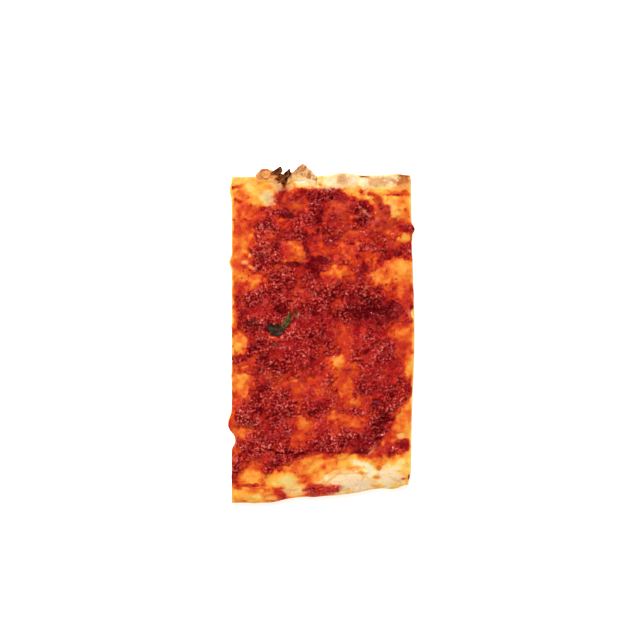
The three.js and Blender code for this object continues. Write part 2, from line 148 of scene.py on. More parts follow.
# Where thick pulp ends towards either rim: places across the slice, and how far along it the pulp reaches.
PULP_FAR_END = (
    (-76, 91), (-58, 92), (-46, 97), (-38, 100), (-34, 112), (-22, 115.4), (-5, 117), (8, 116.5), (16, 114),
    (22, 108), (30, 109), (37, 107.5), (41, 101), (43, 88), (55, 84.5), (64, 87.5), (76, 86),
)
PULP_NEAR_END = (
    (-76, -121), (-67, -120), (-61, -109), (-56, -104.5), (-49, -106), (-45, -114.5), (-38, -110.5),
    (-27, -109), (-21, -103), (-15, -101.5), (-10, -99), (0, -97), (39, -96.8), (44, -91), (48, -83),
    (54, -77.5), (60, -71.5), (64, -62), (66.5, -56), (76, -50),
)
# Folds where the pulp ends in a small step towards the near rim: from, to, depth and width of the shadow.
PULP_FOLDS = (
    ((-64, -94), (-46, -95), 1.6, 0.8),
    ((-43, -93.4), (-30, -95.4), 2.4, 0.9),
    ((-30, -95.4), (-17, -97), 2.6, 0.9),
    ((-17, -97), (-1, -95), 2.2, 0.9),
    ((-46, -69), (-33, -64), 1.4, 1.1),
    ((-26, -62), (-14, -66), 1.2, 1.0),
    ((-41, -28), (-34, -28.8), 1.4, 0.9),
    ((-30, 55.6), (-12, 54), 1.6, 1.4),
    ((-32, 94.4), (-21, 93.4), 1.8, 1.6),
    ((-16, -14), (-8, -21), 1.1, 0.9),
    ((33, -16), (41, -12), 1.1, 0.9),
    ((28, 18.6), (48, 18), 1.2, 1.0),
    ((46, -71), (60, -71.6), 1.2, 1.0),
    ((-47, 46), (-34, 44.6), 1.2, 1.2),
    ((0, 31), (13, 38), 1.2, 1.0),
    ((-60, -49), (-46, -47), 1.0, 1.0),
)
# Dabs of sauce apart from the main layer, each of one or two round lobes: middle, half sizes and turn.
SAUCE_DABS = {
    "rim_sauce_lump": ((-2, -126, 10, 4.4, 6), (10, -124, 9, 3.6, 8)),
    "rim_sauce_dab": ((-32.5, -128.6, 4.4, 4.6, 20),),
    "corner_sauce_dab": ((65.2, -89.4, 5, 4.6, 0), (56.4, -94.6, 9.5, 3.8, 14)),
}

# Thin tongues of crust at the far rim: root from and to, reach, lean, where the tip's peak is and how much
# of the reach the corners have, height of the root, rise, ripple, and the side that comes down to the rim.
BLISTER_FLAPS = (
    ((-52.4, 117), (-30.6, 117), 15.6, 0, 0.26, 0.64, 9, 2, 0.4, -1),
    ((-28, 117), (-3.4, 117), 19.8, 0, 0.57, 0.42, 8.2, 4, 0.5, 1),
)
CHARRED_SCRAPS = (
    ((-41.6, 127), (-34, 126), 7.6, 3.2, 0.7, 0.5, 11.8, 2, 0.6, 0),
    ((-35.4, 120), (-29.8, 119), 13, 4.4, 0.55, 0.7, 9.8, 4, 0.7, 0),
)
# The basil scrap: its midrib runs from its torn end round a bend to the point of its folded green part.
LEAF_TORN_END = (-42.4, 6)
LEAF_BEND = (-30, -3.4)
LEAF_POINT = (-24.8, 17.2)
LEAF_HALF_WIDTH = 5.3
FOLD_HALF_WIDTH = 2.5
LEAF_SHARE = 0.6
LEAF_THICKNESS = 0.6

# ------------------------------------------------------------------ colours of the baked face
# The numbers that every point of dough and sauce carries for its finish; hollow carries painted shade and
# peak a painted highlight.
CHANNELS = ("stain", "depth", "flour", "char", "herb", "hollow", "peak", "grit", "crumb", "base")


def tone(stain, **others):
    """A tone that clears away sauce, flour and char, apart from what is given."""
    return {"stain": stain, "depth": 0, "flour": 0, "char": 0, **others}


# What each tone of the face is made of: how stained with sauce (0 plain dough, 1 red), how dark and
# concentrated the sauce is, how floury, how scorched, how grainy and how much a scrap of herb.
TONES = {
    "cream": tone(0.03, flour=0.2),
    "peach": tone(0.22, flour=0.3),
    "yellow": tone(0.34),
    "salmon": tone(0.54, flour=0.1),
    "honey": tone(0.4, grit=0.1),
    "amber": tone(0.48, grit=0.1),
    "orange": tone(0.64, grit=0.2),
    "flame": tone(0.74, grit=0.4),
    "toffee": tone(0.46, char=0.3),
    "red": tone(0.92, depth=0.1),
    "crimson": tone(1, depth=0.6),
    "maroon": tone(1, depth=1),
    "syrup": tone(1, depth=1, grit=0.1),
    "floury": tone(0.04, flour=0.95),
    "tan": tone(0.3, flour=0.7, char=0.4),
    "ember": tone(0.84),
    "rust": tone(0.78, depth=0.1, char=0.3, grit=0.1),
    "scorched": tone(0.5, char=0.7),
    "black": {"char": 1, "depth": 1, "flour": 0, "grit": 0.3},
    "herb": {"herb": 1},
}
# Dabs of these tones: tone, middle, half sizes, turn and strength. Later ones cover earlier ones. A few are
# painted highlights or painted shade, marked where they stand.
FACE = (
    # far rim, left part
    ("amber", -56, 104, 20, 18, 0, 0.8),
    ("honey", -54, 119, 21, 6.5, 0, 0.9),
    ("yellow", -64, 123, 9, 2.6, 0, 0.7),
    ("orange", -66, 104, 9, 9, 0, 0.6),
    ("orange", -58, 97, 13, 6, 0, 0.6),
    ("flame", -67.5, 117, 4.6, 1.8, 15, 0.8),
    ("red", -71, 116, 2.4, 1.2, 10, 0.9),
    ("flame", -67.6, 105.6, 4.4, 2, 0, 0.8),
    ("red", -66.6, 105.4, 1.6, 1, 0, 0.9),
    ("rust", -58.6, 108.4, 0.9, 0.9, 0, 0.9),
    ("rust", -56.4, 101.8, 1, 1, 0, 0.9),
    ("flame", -50, 96.4, 2.4, 4, -20, 0.6),
    # A cream streak, partly the crust's own colour and partly a painted highlight.
    ("cream", -56.4, 116, 4.4, 1.7, -35, 0.8),
    ("yellow", -50.8, 110.4, 8, 1.8, -46, 0.9),
    ("honey", -44.6, 117, 6.4, 4.4, 0, 0.9),
    ("floury", -41.4, 107.6, 4.6, 5.6, 20, 0.65),
    ("tan", -41.4, 107.6, 4.6, 5.6, 20, 0.5),
    # A cream streak, partly the crust's own colour and partly a painted highlight.
    ("cream", -46.4, 106.2, 1.6, 5, 40, 0.8),
    ("tan", -38, 120, 2.4, 9, 50, 0.7),
    ("rust", -35.8, 109.4, 1.4, 1, 0, 0.8),
    # the burst blister
    ("yellow", -14, 119, 12, 5, 6, 0.9),
    ("cream", -15, 120.6, 8, 3.2, 8, 1),
    ("cream", -10, 122.4, 8, 4.4, 6, 1),
    ("honey", -5.4, 119.6, 4, 5, 0, 0.8),
    ("tan", -25.4, 119, 2.4, 3, 0, 0.6),
    ("tan", -28.2, 115.4, 2.6, 2.4, 0, 0.8),
    ("tan", -33.6, 116, 3.6, 6, 30, 0.9),
    ("scorched", -31, 112, 4, 0.9, 10, 0.7),
    ("scorched", -30.4, 120, 1.5, 4.4, 20, 0.95),
    ("black", -28.6, 111.6, 1.6, 1.6, 0, 0.95),
    # far rim, right part
    ("honey", 43, 111.5, 32, 7, 0, 0.95),
    ("floury", 26, 122.4, 33, 6.4, 0, 1),
    ("floury", 60, 124, 12, 5, -2, 1),
    ("cream", 3, 121.6, 7, 4, 0, 0.8),
    ("cream", 32, 119.6, 4.4, 3, -50, 0.95),
    # A thin cream line along the foot of the rim, partly a painted highlight.
    ("cream", 46, 116.2, 12, 1.2, -3, 0.8),
    # The next four dabs are the tan patches at the far rim's bumps: partly toasted crust and partly painted
    # shade between the bumps.
    ("tan", 16.4, 123, 6.6, 4.8, 0, 0.85),
    ("scorched", 15.6, 123.4, 3.4, 2.6, 0, 0.2),
    ("tan", 44.4, 120.6, 8, 4.6, 0, 0.95),
    ("toffee", 43, 121, 4, 2, 0, 0.25),
    ("tan", 54, 123.6, 3, 1.8, 0, 0.7),
    ("tan", 66, 122, 7.6, 6.4, 0, 1),
    ("toffee", 66.4, 121, 6, 4.6, 0, 0.7),
    ("scorched", 65, 122.4, 6, 4, 0, 0.5),
    ("scorched", 33.6, 125.6, 4.4, 1, -12, 1),
    ("scorched", 65.6, 126.6, 6.6, 1.1, -4, 0.95),
    ("toffee", 27, 113, 4, 1.4, 30, 0.8),
    ("rust", 31.4, 113.6, 2, 1.8, 20, 0.95),
    ("rust", 34.6, 114.6, 2.6, 0.8, 20, 0.7),
    ("rust", 43.6, 109.8, 6.4, 1.6, -18, 0.8),
    ("yellow", 42.4, 106.2, 3.6, 1.3, -24, 0.95),
    ("cream", 36.6, 108.8, 3.6, 0.8, -20, 0.9),
    ("toffee", 61.8, 112.4, 9, 2.8, -2, 0.95),
    ("rust", 61.8, 111.8, 8.6, 2.2, -2, 0.4),
    ("syrup", 62.4, 110.7, 8, 0.8, 0, 0.9),
    ("amber", 62, 101, 11.6, 8, 0, 0.95),
    ("flame", 61, 101, 8, 5, 0, 0.25),
    ("toffee", 64, 96, 9, 4.6, 0, 0.6),
    ("peach", 56.6, 101, 2.4, 5, 20, 0.5),
    ("peach", 58, 95.6, 5, 0.9, 0, 0.5),
    ("orange", 67.6, 93.6, 5, 5, 0, 0.8),
    ("rust", 62.4, 98.4, 1.5, 1, 0, 0.9),
    ("rust", 67.4, 98, 1.2, 1.2, 0, 0.9),
    ("rust", 48, 98, 7.2, 12, 8, 0.95),
    ("orange", 43, 101, 1.4, 5, 0, 0.6),
    ("maroon", 48, 101.4, 2.6, 2.2, 0, 0.6),
    ("rust", 51, 86, 15, 5, 6, 0.95),
    ("syrup", 42, 80.6, 4.4, 1.6, 0, 0.7),
    ("amber", 44, 91.6, 1.8, 1.1, 20, 0.7),
    # the windows and dark pulp below the far rim
    ("rust", -22.6, 104.6, 14.6, 10, 0, 1),
    ("syrup", -22.6, 104, 13, 9, 0, 0.42),
    ("orange", -19, 100.6, 9, 2, 0, 0.5),
    ("rust", 15, 97.5, 12, 11.6, -10, 1),
    ("orange", 13, 101, 5, 3, 0, 0.4),
    ("crimson", 4, 111, 17, 5, 0, 0.8),
    ("crimson", -4, 100, 6.4, 12, 0, 0.85),
    ("black", 7.4, 108.6, 1.8, 1.6, 0, 0.95),
    # The next two dabs darken the pulp along a fold: partly darker sauce and partly painted shadow.
    ("crimson", -33, 96.4, 13, 3.2, -8, 0.9),
    ("maroon", -26.6, 94, 5.4, 1.8, -6, 0.9),
    ("crimson", -45.6, 87, 8.4, 3.8, 8, 0.85),
    ("flame", -33, 86, 2.6, 5, 0, 0.7),
    ("orange", -31.6, 90, 3.6, 1.2, 0, 0.5),
    ("crimson", 31, 99, 8.4, 9.4, 0, 0.9),
    ("red", 31, 101, 7, 7, 0, 0.5),
    ("black", 28.6, 98.6, 1.8, 1.7, 0, 0.85),
    ("black", 34, 100.6, 1.3, 1.1, 0, 0.6),
    # The next two are painted highlights on the round crimson dab.
    ("peach", 35.4, 96.6, 0.9, 3, 42, 0.9),
    ("salmon", 29, 93.4, 3, 0.7, 0, 0.7),
    ("crimson", 34, 88.6, 4, 5, -30, 0.7),
    # upper middle
    ("orange", -65, 74, 10, 17, 0, 0.8),
    ("amber", -64.6, 73.6, 4.4, 3, 0, 0.9),
    ("amber", -58, 78, 4.6, 3.4, 0, 0.85),
    ("flame", -64, 75, 8, 11, 0, 0.35),
    ("orange", -65, 50, 9, 15, 0, 0.85),
    ("amber", -62, 65, 5, 4, 0, 0.6),
    # The next two pale spots are painted highlights on the orange margin.
    ("peach", -62.2, 56.8, 1.8, 1, 0, 0.9),
    ("peach", -55.4, 52.4, 2.6, 1, -30, 0.95),
    ("peach", -57, 62.6, 1.2, 1, 0, 0.7),
    ("herb", -50.4, 61.8, 1.8, 1.3, 0, 0.55),
    ("flame", -40, 76, 5, 3.4, 0, 0.5),
    ("flame", -11, 83.6, 5.6, 2, -35, 0.8),
    ("orange", -27, 83.4, 1.8, 3, 0, 0.5),
    ("orange", -53.4, 41, 5.4, 5.4, 0, 0.8),
    ("amber", -53.4, 41.4, 3.4, 3.2, 0, 0.8),
    ("orange", -25.4, 66, 5, 7.4, 0, 0.95),
    ("orange", -18, 63.4, 5.6, 5.4, 0, 0.95),
    ("amber", -18, 64.4, 3.4, 3, 0, 0.5),
    ("crimson", 69, 83, 6.4, 3.4, 0, 0.9),
    ("honey", 66.4, 75, 4.6, 2.6, 0, 0.7),
    ("yellow", 66.8, 77, 5.2, 3.4, 0, 1),
    ("rust", 24.6, 78.4, 9, 4.2, 4, 0.95),
    ("orange", 25, 78.6, 5.6, 2.6, 0, 0.35),
    ("syrup", 10, 76, 7, 2.4, 20, 0.6),
    ("rust", 58, 67, 8, 5, 20, 0.7),
    ("crimson", 57, 61.6, 10, 1.7, 24, 0.8),
    ("syrup", -11.6, 66, 2.4, 7, 20, 0.9),
    ("flame", -3, 69, 8, 6.6, 0, 1),
    ("orange", -3.4, 70.4, 5, 2.2, 8, 0.8),
    # A painted glint.
    ("yellow", -2, 71, 1.6, 0.7, 8, 0.7),
    ("orange", -4, 75.6, 2, 2, 0, 0.6),
    ("orange", -0.4, 76, 1.8, 4.6, 0, 0.6),
    ("orange", -2, 63, 4.4, 1, -6, 0.6),
    ("syrup", -5.6, 56, 9.6, 6, 0, 0.9),
    # A dark band along a fold: partly darker sauce and partly painted shadow.
    ("maroon", -22, 55, 9, 1.8, 2, 0.8),
    ("orange", 13, 67.4, 6.4, 2.6, 14, 0.95),
    ("amber", 16, 68.6, 2.6, 1.6, 0, 0.9),
    ("amber", 10.4, 66, 2.6, 1.2, 10, 0.9),
    ("yellow", 8, 64.6, 1.8, 1, 0, 0.85),
    ("amber", 4, 66, 1.8, 1.4, 0, 0.7),
    ("flame", 11, 60.6, 6, 1.4, 0, 0.6),
    ("orange", 23, 62.4, 5.6, 4.6, 10, 0.95),
    ("amber", 22.4, 64.4, 3.4, 2, 0, 0.8),
    ("orange", 26, 57, 5, 4.6, -20, 0.9),
    ("flame", 29, 54, 3, 3.4, 0, 0.8),
    ("orange", 25, 69, 4.6, 2.2, 0, 0.45),
    # The next three small yellow dabs are painted glints.
    ("yellow", 23, 68, 1, 0.8, 0, 0.8),
    ("yellow", 26.4, 69.4, 2, 1, 0, 0.6),
    ("yellow", 29, 72, 1.3, 0.8, 0, 0.9),
    ("flame", 38, 60, 8, 6, -10, 1),
    ("orange", 38, 60, 6, 4, -10, 0.8),
    # The next two small yellow dabs are painted glints.
    ("yellow", 37, 59, 1.8, 0.8, -20, 0.7),
    ("yellow", 41.6, 56.4, 1.4, 0.8, 30, 0.6),
    ("amber", 34, 63, 5, 1.8, -8, 0.9),
    # The next two small yellow dabs are painted highlights.
    ("yellow", 33.6, 62.8, 2.4, 1.1, 0, 0.9),
    ("yellow", 39.4, 62.6, 2.6, 1, -20, 0.8),
    ("amber", 44.6, 60.8, 2.4, 1.6, 0, 0.8),
    # The next two small amber dabs are painted glints.
    ("amber", 36.4, 57, 2.4, 1, -30, 0.8),
    ("amber", 41, 53, 1, 2.6, 0, 0.7),
    ("orange", 13, 50, 11, 5.6, -8, 0.95),
    ("flame", 15, 51, 8, 4, 0, 0.35),
    ("amber", 10, 49, 4.6, 3, 0, 0.6),
    ("amber", 19.4, 52.6, 2, 1.6, 0, 0.7),
    ("yellow", 10, 53.8, 1.8, 1, 0, 0.9),
    ("yellow", 8, 48.4, 1.2, 0.9, 0, 0.7),
    ("syrup", 34.8, 52, 3.2, 5.6, 0, 0.8),
    ("crimson", 33, 45, 6, 4, 0, 0.7),
    ("amber", 60, 50, 18.5, 9.4, 10, 0.95),
    ("honey", 63, 54, 9, 4, 8, 0.8),
    ("orange", 48, 46, 6, 3.4, 10, 0.5),
    ("orange", 66, 38, 6.4, 7, 0, 0.85),
    ("flame", 65.6, 29, 6, 8, 0, 0.8),
    ("red", -16, 31.4, 7, 5, 25, 0.9),
    ("amber", -15, 33.4, 2, 1, 40, 0.45),
    ("crimson", -50, 29, 11, 9, 0, 0.35),
    ("crimson", -5, 20, 9, 9, 0, 0.5),
    ("red", -25, 23, 7.6, 4.8, 0, 0.8),
    ("flame", 14.6, 24.6, 5.6, 6.6, 0, 0.7),
    # A faint pink streak painted as a highlight.
    ("salmon", 8, 37, 5, 2, 38, 0.3),
    ("salmon", -44, 66, 3, 4, 0, 0.3),
    ("maroon", 43, 18, 19, 10, -4, 0.85),
    ("black", 39.6, 25, 2, 2.4, 0, 0.55),
    ("black", 31.8, 30.4, 1.6, 1.4, 0, 0.8),
    ("herb", -6.2, 32, 1.8, 1.6, 0, 0.5),
    ("herb", -20.4, 14, 2.2, 3, 0, 0.45),
    ("maroon", -41, 5, 4, 3.6, 0, 0.9),
    ("herb", -54, 8, 4, 1.6, 0, 0.25),
    ("cream", 71.6, 14.6, 2, 3.4, 0, 0.9),
    # middle
    ("maroon", -52, 6, 9, 5, 0, 0.8),
    ("orange", -22.8, 5.4, 2.4, 2.2, 20, 0.9),
    ("flame", -24.6, 3.6, 3, 1, 20, 0.8),
    ("orange", -38.4, -2.6, 4.4, 1.3, -6, 0.9),
    ("flame", -35, -5, 6, 1.2, 0, 0.6),
    ("orange", -70, 6, 2.6, 9, 0, 0.8),
    ("amber", -66.8, -8.6, 6.6, 8.8, 0, 0.95),
    ("honey", -68, -10, 3.4, 5, 0, 0.6),
    ("crimson", -63.6, -20, 6, 3, 0, 0.85),
    ("crimson", -62, -30, 6, 1.6, 0, 0.7),
    ("flame", -58.6, -25, 6, 4, 35, 0.8),
    ("orange", -56, -22.6, 3, 4.4, 0, 1),
    ("amber", -66, -40, 8, 10.6, 0, 0.95),
    ("honey", -66, -38, 4, 4, 0, 0.4),
    ("flame", -68, -56, 5, 8, 0, 0.8),
    ("flame", 18, -6, 7, 11, 12, 0.9),
    ("orange", 17, -9, 3, 6, 12, 0.5),
    # A painted highlight.
    ("salmon", 11.2, 1.6, 1.2, 1.8, 20, 0.6),
    ("orange", 33.2, 1, 2.8, 1.8, 0, 0.95),
    ("orange", 13, -24, 8.6, 6.4, -40, 0.95),
    ("amber", 12.6, -23.6, 6.8, 4.8, -40, 0.95),
    ("honey", 12, -20.8, 3.4, 1.6, -30, 0.6),
    ("orange", 18.6, -40, 7, 10.5, 8, 0.9),
    ("orange", 25.2, -55.4, 6.2, 3.6, 4, 0.95),
    ("amber", 25, -55, 4.2, 2, 4, 0.5),
    ("ember", -16, -45.5, 13, 7, -10, 0.9),
    ("flame", -12, -48.6, 7, 1.6, -40, 0.7),
    ("amber", -21.8, -37.6, 2.6, 1.3, -6, 0.9),
    # A painted highlight.
    ("salmon", -22.6, -37, 1.2, 0.8, 0, 0.8),
    ("salmon", -14.6, -43, 2.4, 0.9, -50, 0.6),
    ("amber", -5.2, -45.6, 1.5, 0.9, -30, 0.9),
    ("flame", 68, -5, 8.4, 13, 15, 0.95),
    ("orange", 70, -6, 4, 8, 15, 0.6),
    ("amber", 66, 1.6, 4, 1.8, 30, 0.5),
    ("flame", 65, -26, 4, 4, 0, 0.6),
    ("amber", 71.6, -25, 3.6, 9, 0, 0.9),
    ("yellow", 72.6, -26, 1.6, 5, 0, 0.7),
    ("maroon", 43.6, -56.6, 4, 3.6, 0, 0.9),
    ("crimson", 69.6, -44.4, 2.6, 3.6, 0, 0.9),
    ("herb", 46, -30, 2.4, 2, 0, 0.25),
    ("herb", 6.4, -40.4, 1.2, 0.9, 0, 0.6),
    ("herb", -33, -34, 3, 2, 0, 0.3),
    ("herb", -37, -9.4, 2.4, 1.6, 0, 0.35),
    # lower part
    ("maroon", -42, -66, 16, 10, 0, 0.1),
    ("herb", -57.5, -74, 3.2, 3.2, 0, 0.25),
    ("maroon", 34, -85, 17, 6.4, 4, 0.75),
    ("syrup", 30.6, -94.4, 8, 2.2, 0, 0.95),
    ("syrup", 9, -95.4, 7, 1.4, 6, 0.7),
    ("maroon", 48, -74, 6, 5, 0, 0.6),
    ("maroon", 54, -64, 6, 6, 0, 0.5),
    ("orange", -71.6, -68, 3, 10, 0, 0.9),
    ("orange", -66, -80, 6, 2.4, 8, 0.95),
    ("orange", -67.4, -93, 3.2, 2.2, 0, 0.9),
    ("orange", -14.6, -71, 3.6, 5.6, 0, 0.9),
    ("flame", -6, -72, 6, 5, 0, 0.55),
    ("orange", -19, -82.6, 5, 2.8, 14, 0.9),
    ("flame", -9, -83, 8, 2.2, 10, 0.5),
    ("red", -34, -88, 14, 3, 0, 0.5),
    ("red", -30, -96, 12, 7, 0, 1),
    ("crimson", 34, -86, 10, 4, 4, 0.5),
    ("flame", 17, -69, 13.4, 3.4, -8, 0.9),
    ("amber", 9.6, -67.4, 4.2, 1.5, 0, 0.7),
    ("orange", 36, -66, 4, 1.2, 0, 0.7),
    ("flame", 12, -78, 4, 3, 0, 0.6),
    ("amber", 66, -73, 9, 15, -12, 0.95),
    ("orange", 56, -82, 9, 4, 36, 0.8),
    ("peach", 63.8, -82.4, 3.6, 2, -10, 0.9),
    ("flame", 55, -92, 8, 5, 10, 0.85),
    ("crimson", 65.4, -89, 6, 4.6, 0, 0.95),
    ("peach", 40.6, -93.4, 1, 3.4, -38, 0.75),
    ("rust", 20.6, -94.6, 4.4, 1.6, 16, 0.9),
    ("crimson", 57, -95, 4, 2.4, 10, 0.8),
    # near rim
    ("flame", -57, -107, 6, 5, -20, 0.7),
    ("orange", -53, -108, 6.4, 3.6, -10, 0.95),
    ("orange", -61, -116, 7, 4, 20, 0.9),
    ("amber", -54, -116, 10, 4, 0, 0.9),
    ("toffee", -54, -111.6, 4, 0.9, -20, 0.7),
    ("amber", -18, -107, 12, 5, 0, 0.9),
    ("honey", -6, -112, 13, 7, 0, 0.9),
    ("orange", -22, -110, 5, 3, 0, 0.6),
    ("orange", -16, -116.6, 8, 3, -10, 0.7),
    ("yellow", -3, -112.4, 4, 2.4, 30, 0.9),
    ("yellow", -12, -108.4, 3, 1.2, -20, 0.7),
    ("toffee", -12, -106, 5, 0.7, 24, 0.8),
    ("toffee", -5, -111, 4, 0.7, 10, 0.7),
    ("yellow", -31, -118.6, 13, 5.6, -4, 1),
    ("honey", -38, -114.6, 6, 2, -10, 0.5),
    ("cream", -34, -120, 3.4, 1.8, 0, 0.4),
    ("peach", -25.4, -118.6, 6, 3.4, -10, 0.8),
    ("peach", -21, -125.4, 9, 3.2, 6, 0.9),
    ("amber", -16, -121.6, 4.4, 2, -30, 0.7),
    ("tan", -24, -125.4, 8, 0.9, 3, 0.9),
    ("tan", -18, -128.4, 7, 0.9, 8, 0.9),
    ("rust", -57, -121.6, 10, 2, 0, 0.95),
    ("crimson", -55, -121.6, 5, 1.1, 0, 0.7),
    ("rust", -66.6, -124.6, 4, 0.9, -8, 0.9),
    ("rust", -50, -124.6, 5, 0.7, -4, 0.8),
    ("yellow", -59, -129.6, 15, 4.4, 0, 1),
    ("yellow", -55, -129, 12, 4, 0, 1),
    ("cream", -50, -131, 4, 2, 0, 0.5),
    ("toffee", -42, -131, 7, 2.6, 6, 0.6),
    ("peach", -40, -132.4, 4, 1.4, 6, 0.6),
    ("scorched", -41, -129, 4.6, 0.9, 8, 0.5),
    ("scorched", -40, -134.4, 5, 0.7, 0, 0.9),
    ("toffee", -62, -134.6, 8, 0.6, 0, 0.9),
    ("flame", -33.4, -128, 4.6, 3.4, -40, 0.95),
    ("honey", 24, -103.6, 31, 6, 0, 0.95),
    ("yellow", 18, -104, 20, 4, 4, 0.8),
    ("yellow", 34, -104, 22, 3.4, 0, 0.85),
    ("toffee", 15, -101.4, 9, 0.9, 17, 0.95),
    ("orange", 4, -99.6, 7, 1.2, 6, 0.8),
    ("toffee", 13, -108.6, 4.4, 0.9, 12, 0.95),
    ("toffee", 23.6, -108.2, 3, 0.7, -4, 0.8),
    ("orange", 1.6, -106, 2, 2, 0, 0.8),
    ("toffee", 5.6, -111.8, 3, 1.1, 18, 0.9),
    ("rust", 38.6, -99, 2.4, 1.4, 0, 0.8),
    ("honey", 44, -101.6, 5, 1.2, 0, 0.8),
    ("rust", -13, -119, 2.4, 0.9, 10, 0.6),
    ("yellow", 60, -103.4, 10, 5, 0, 0.9),
    ("honey", 56.4, -103.6, 4, 4, 0, 0.9),
    ("cream", 63, -103.6, 3, 3, 0, 0.6),
    ("floury", 25, -119.8, 22, 8.4, 5, 1),
    ("floury", 53, -114.4, 12, 7.4, 6, 1),
    ("cream", 29.6, -103.8, 6.6, 3.2, -14, 1),
    ("cream", 30, -104, 5, 2.4, -14, 1),
    ("cream", 38.6, -109.4, 4.6, 5.6, 0, 1),
    ("honey", 49, -102.6, 3, 3, 0, 0.7),
    ("cream", 11, -117, 6, 2, 24, 0.9),
    # The next three tan arcs are the painted shadow outline of the floury bubble.
    ("tan", 9.6, -115.4, 7, 1, 34, 0.9),
    ("tan", 24, -112, 9, 0.9, 0, 0.8),
    ("tan", 37, -115.6, 5, 0.8, -40, 0.6),
    ("toffee", 32.4, -111.6, 2.4, 1.5, -10, 1),
    ("toffee", 44.4, -115.6, 3, 1.7, 0, 1),
    ("toffee", 45.8, -107.4, 2.2, 2.2, 0, 1),
    ("toffee", 62, -110.2, 2.6, 0.8, -10, 0.95),
    ("tan", 60, -117.6, 5, 1.4, -30, 0.7),
    ("rust", 65.4, -116.4, 1.8, 1, 0, 0.9),
    ("black", 70.4, -116.6, 1.3, 3, 0, 1),
    ("tan", 43, -121.6, 2.6, 1.8, 0, 0.8),
    ("toffee", 42.6, -122.6, 2, 0.6, 0, 0.8),
    ("red", 3, -125, 15, 3.8, 4, 1),
    ("ember", 8, -123.6, 9, 1.6, 6, 0.7),
    ("crimson", -7, -124.4, 4.6, 2.6, 0, 0.6),
)


# ------------------------------------------------------------------ numbers that look like chance
def smooth(t):
    t = np.clip(t, 0, 1)
    return t * t * (3 - 2 * t)


def mix(a, b, share):
    return a + (b - a) * share


def scattered(ix, iy, seed):
    """A steady number from 0 to 1 for each whole-number place."""
    n = ix.astype(np.int64).astype(np.uint64) * np.uint64(0x9E3779B185EBCA87)
    n = n + iy.astype(np.int64).astype(np.uint64) * np.uint64(0xC2B2AE3D27D4EB4F)
    n = n + np.uint64(seed + 1) * np.uint64(0x165667B19E3779F9)
    n = (n ^ (n >> np.uint64(31))) * np.uint64(0xD6E8FEB86659FD93)
    n = (n ^ (n >> np.uint64(32))) * np.uint64(0xD6E8FEB86659FD93)
    return ((n ^ (n >> np.uint64(29))) >> np.uint64(40)).astype(float) / 2**24


def waves(x, y, size, seed):
    """Smooth noise from -1 to 1 whose hills are about a size apart."""
    gx, gy = np.floor(x / size), np.floor(y / size)
    fx, fy = smooth(x / size - gx), smooth(y / size - gy)
    low = mix(scattered(gx, gy, seed), scattered(gx + 1, gy, seed), fx)
    high = mix(scattered(gx, gy + 1, seed), scattered(gx + 1, gy + 1, seed), fx)
    return 2 * mix(low, high, fy) - 1


def rough(x, y, size, seed, octaves=3):
    total = np.zeros_like(x)
    for octave in range(octaves):
        share = 0.5**octave
        total = total + share * waves(x + 17 * octave, y - 31 * octave, size * share, seed + octave)
    return total


def cells(x, y, size, seed):
    """Distance to the nearest of scattered points, how much further the next is, and its own number."""
    gx, gy = np.floor(x / size), np.floor(y / size)
    best, second, which = np.full_like(x, 9.0), np.full_like(x, 9.0), np.zeros_like(x)
    for dy in (-1, 0, 1):
        for dx in (-1, 0, 1):
            cx, cy = gx + dx, gy + dy
            px = cx + 0.05 + 0.9 * scattered(cx, cy, seed)
            py = cy + 0.05 + 0.9 * scattered(cx, cy, seed + 1)
            away = np.hypot(x / size - px, y / size - py)
            nearer = away < best
            second = np.where(nearer, best, np.minimum(second, away))
            which = np.where(nearer, scattered(cx, cy, seed + 2), which)
            best = np.minimum(best, away)
    return best, second - best, which


def lumps(x, y, size, seed):
    """Rounded grains of uneven height, from 0 between them to about 1, and each grain's own number."""
    wx = x + 0.4 * size * waves(x, y, 2 * size, seed + 5)
    wy = y + 0.4 * size * waves(x, y, 2 * size, seed + 6)
    near, _, which = cells(wx, wy, size, seed)
    return (0.4 + 0.6 * which) * (1 - np.clip(near / 0.8, 0, 1) ** 2), which


# ------------------------------------------------------------------ the slice's shape
def bulge(bulges, along):
    return sum(out * np.exp(-(((along - at) / reach) ** 2)) for at, reach, out in bulges)


def left_cut(y):
    return -CUT_HALF_WIDTH - bulge(LEFT_BULGES, y)


def right_cut(y):
    return CUT_HALF_WIDTH - RIGHT_CUT_INSET + bulge(RIGHT_BULGES, y)


def far_rim(x):
    return FAR_RIM + bulge(FAR_BULGES, x)


def near_rim(x):
    return NEAR_RIM + NEAR_RIM_SLANT * np.maximum(0, x - NEAR_RIM_TURN) + bulge(NEAR_BULGES, x)


def place(u, v):
    """A point of the face from its shares across and along the slice."""
    straight = mix(-CUT_HALF_WIDTH, CUT_HALF_WIDTH, u)
    y = mix(near_rim(straight), far_rim(straight), v)
    return mix(left_cut(y), right_cut(y), u), y


def outside_of(patch, x, y):
    """About how far a point is outside an oval: negative within it."""
    px, py, a, b, turn = patch[:5]
    angle = math.radians(turn)
    dx, dy = x - px, y - py
    across = (dx * math.cos(angle) + dy * math.sin(angle)) / a
    along = (dy * math.cos(angle) - dx * math.sin(angle)) / b
    return (np.hypot(across, along) - 1) * min(a, b)


def gentle_waves(x, y):
    wide = 0.55 * np.sin(x * 0.11 + 1.3) * np.sin(y * 0.083 + 0.4)
    return wide + 0.35 * np.sin(x * 0.23 - y * 0.17)


def from_rim(x, y):
    return np.minimum(far_rim(x) - y, y - near_rim(x))


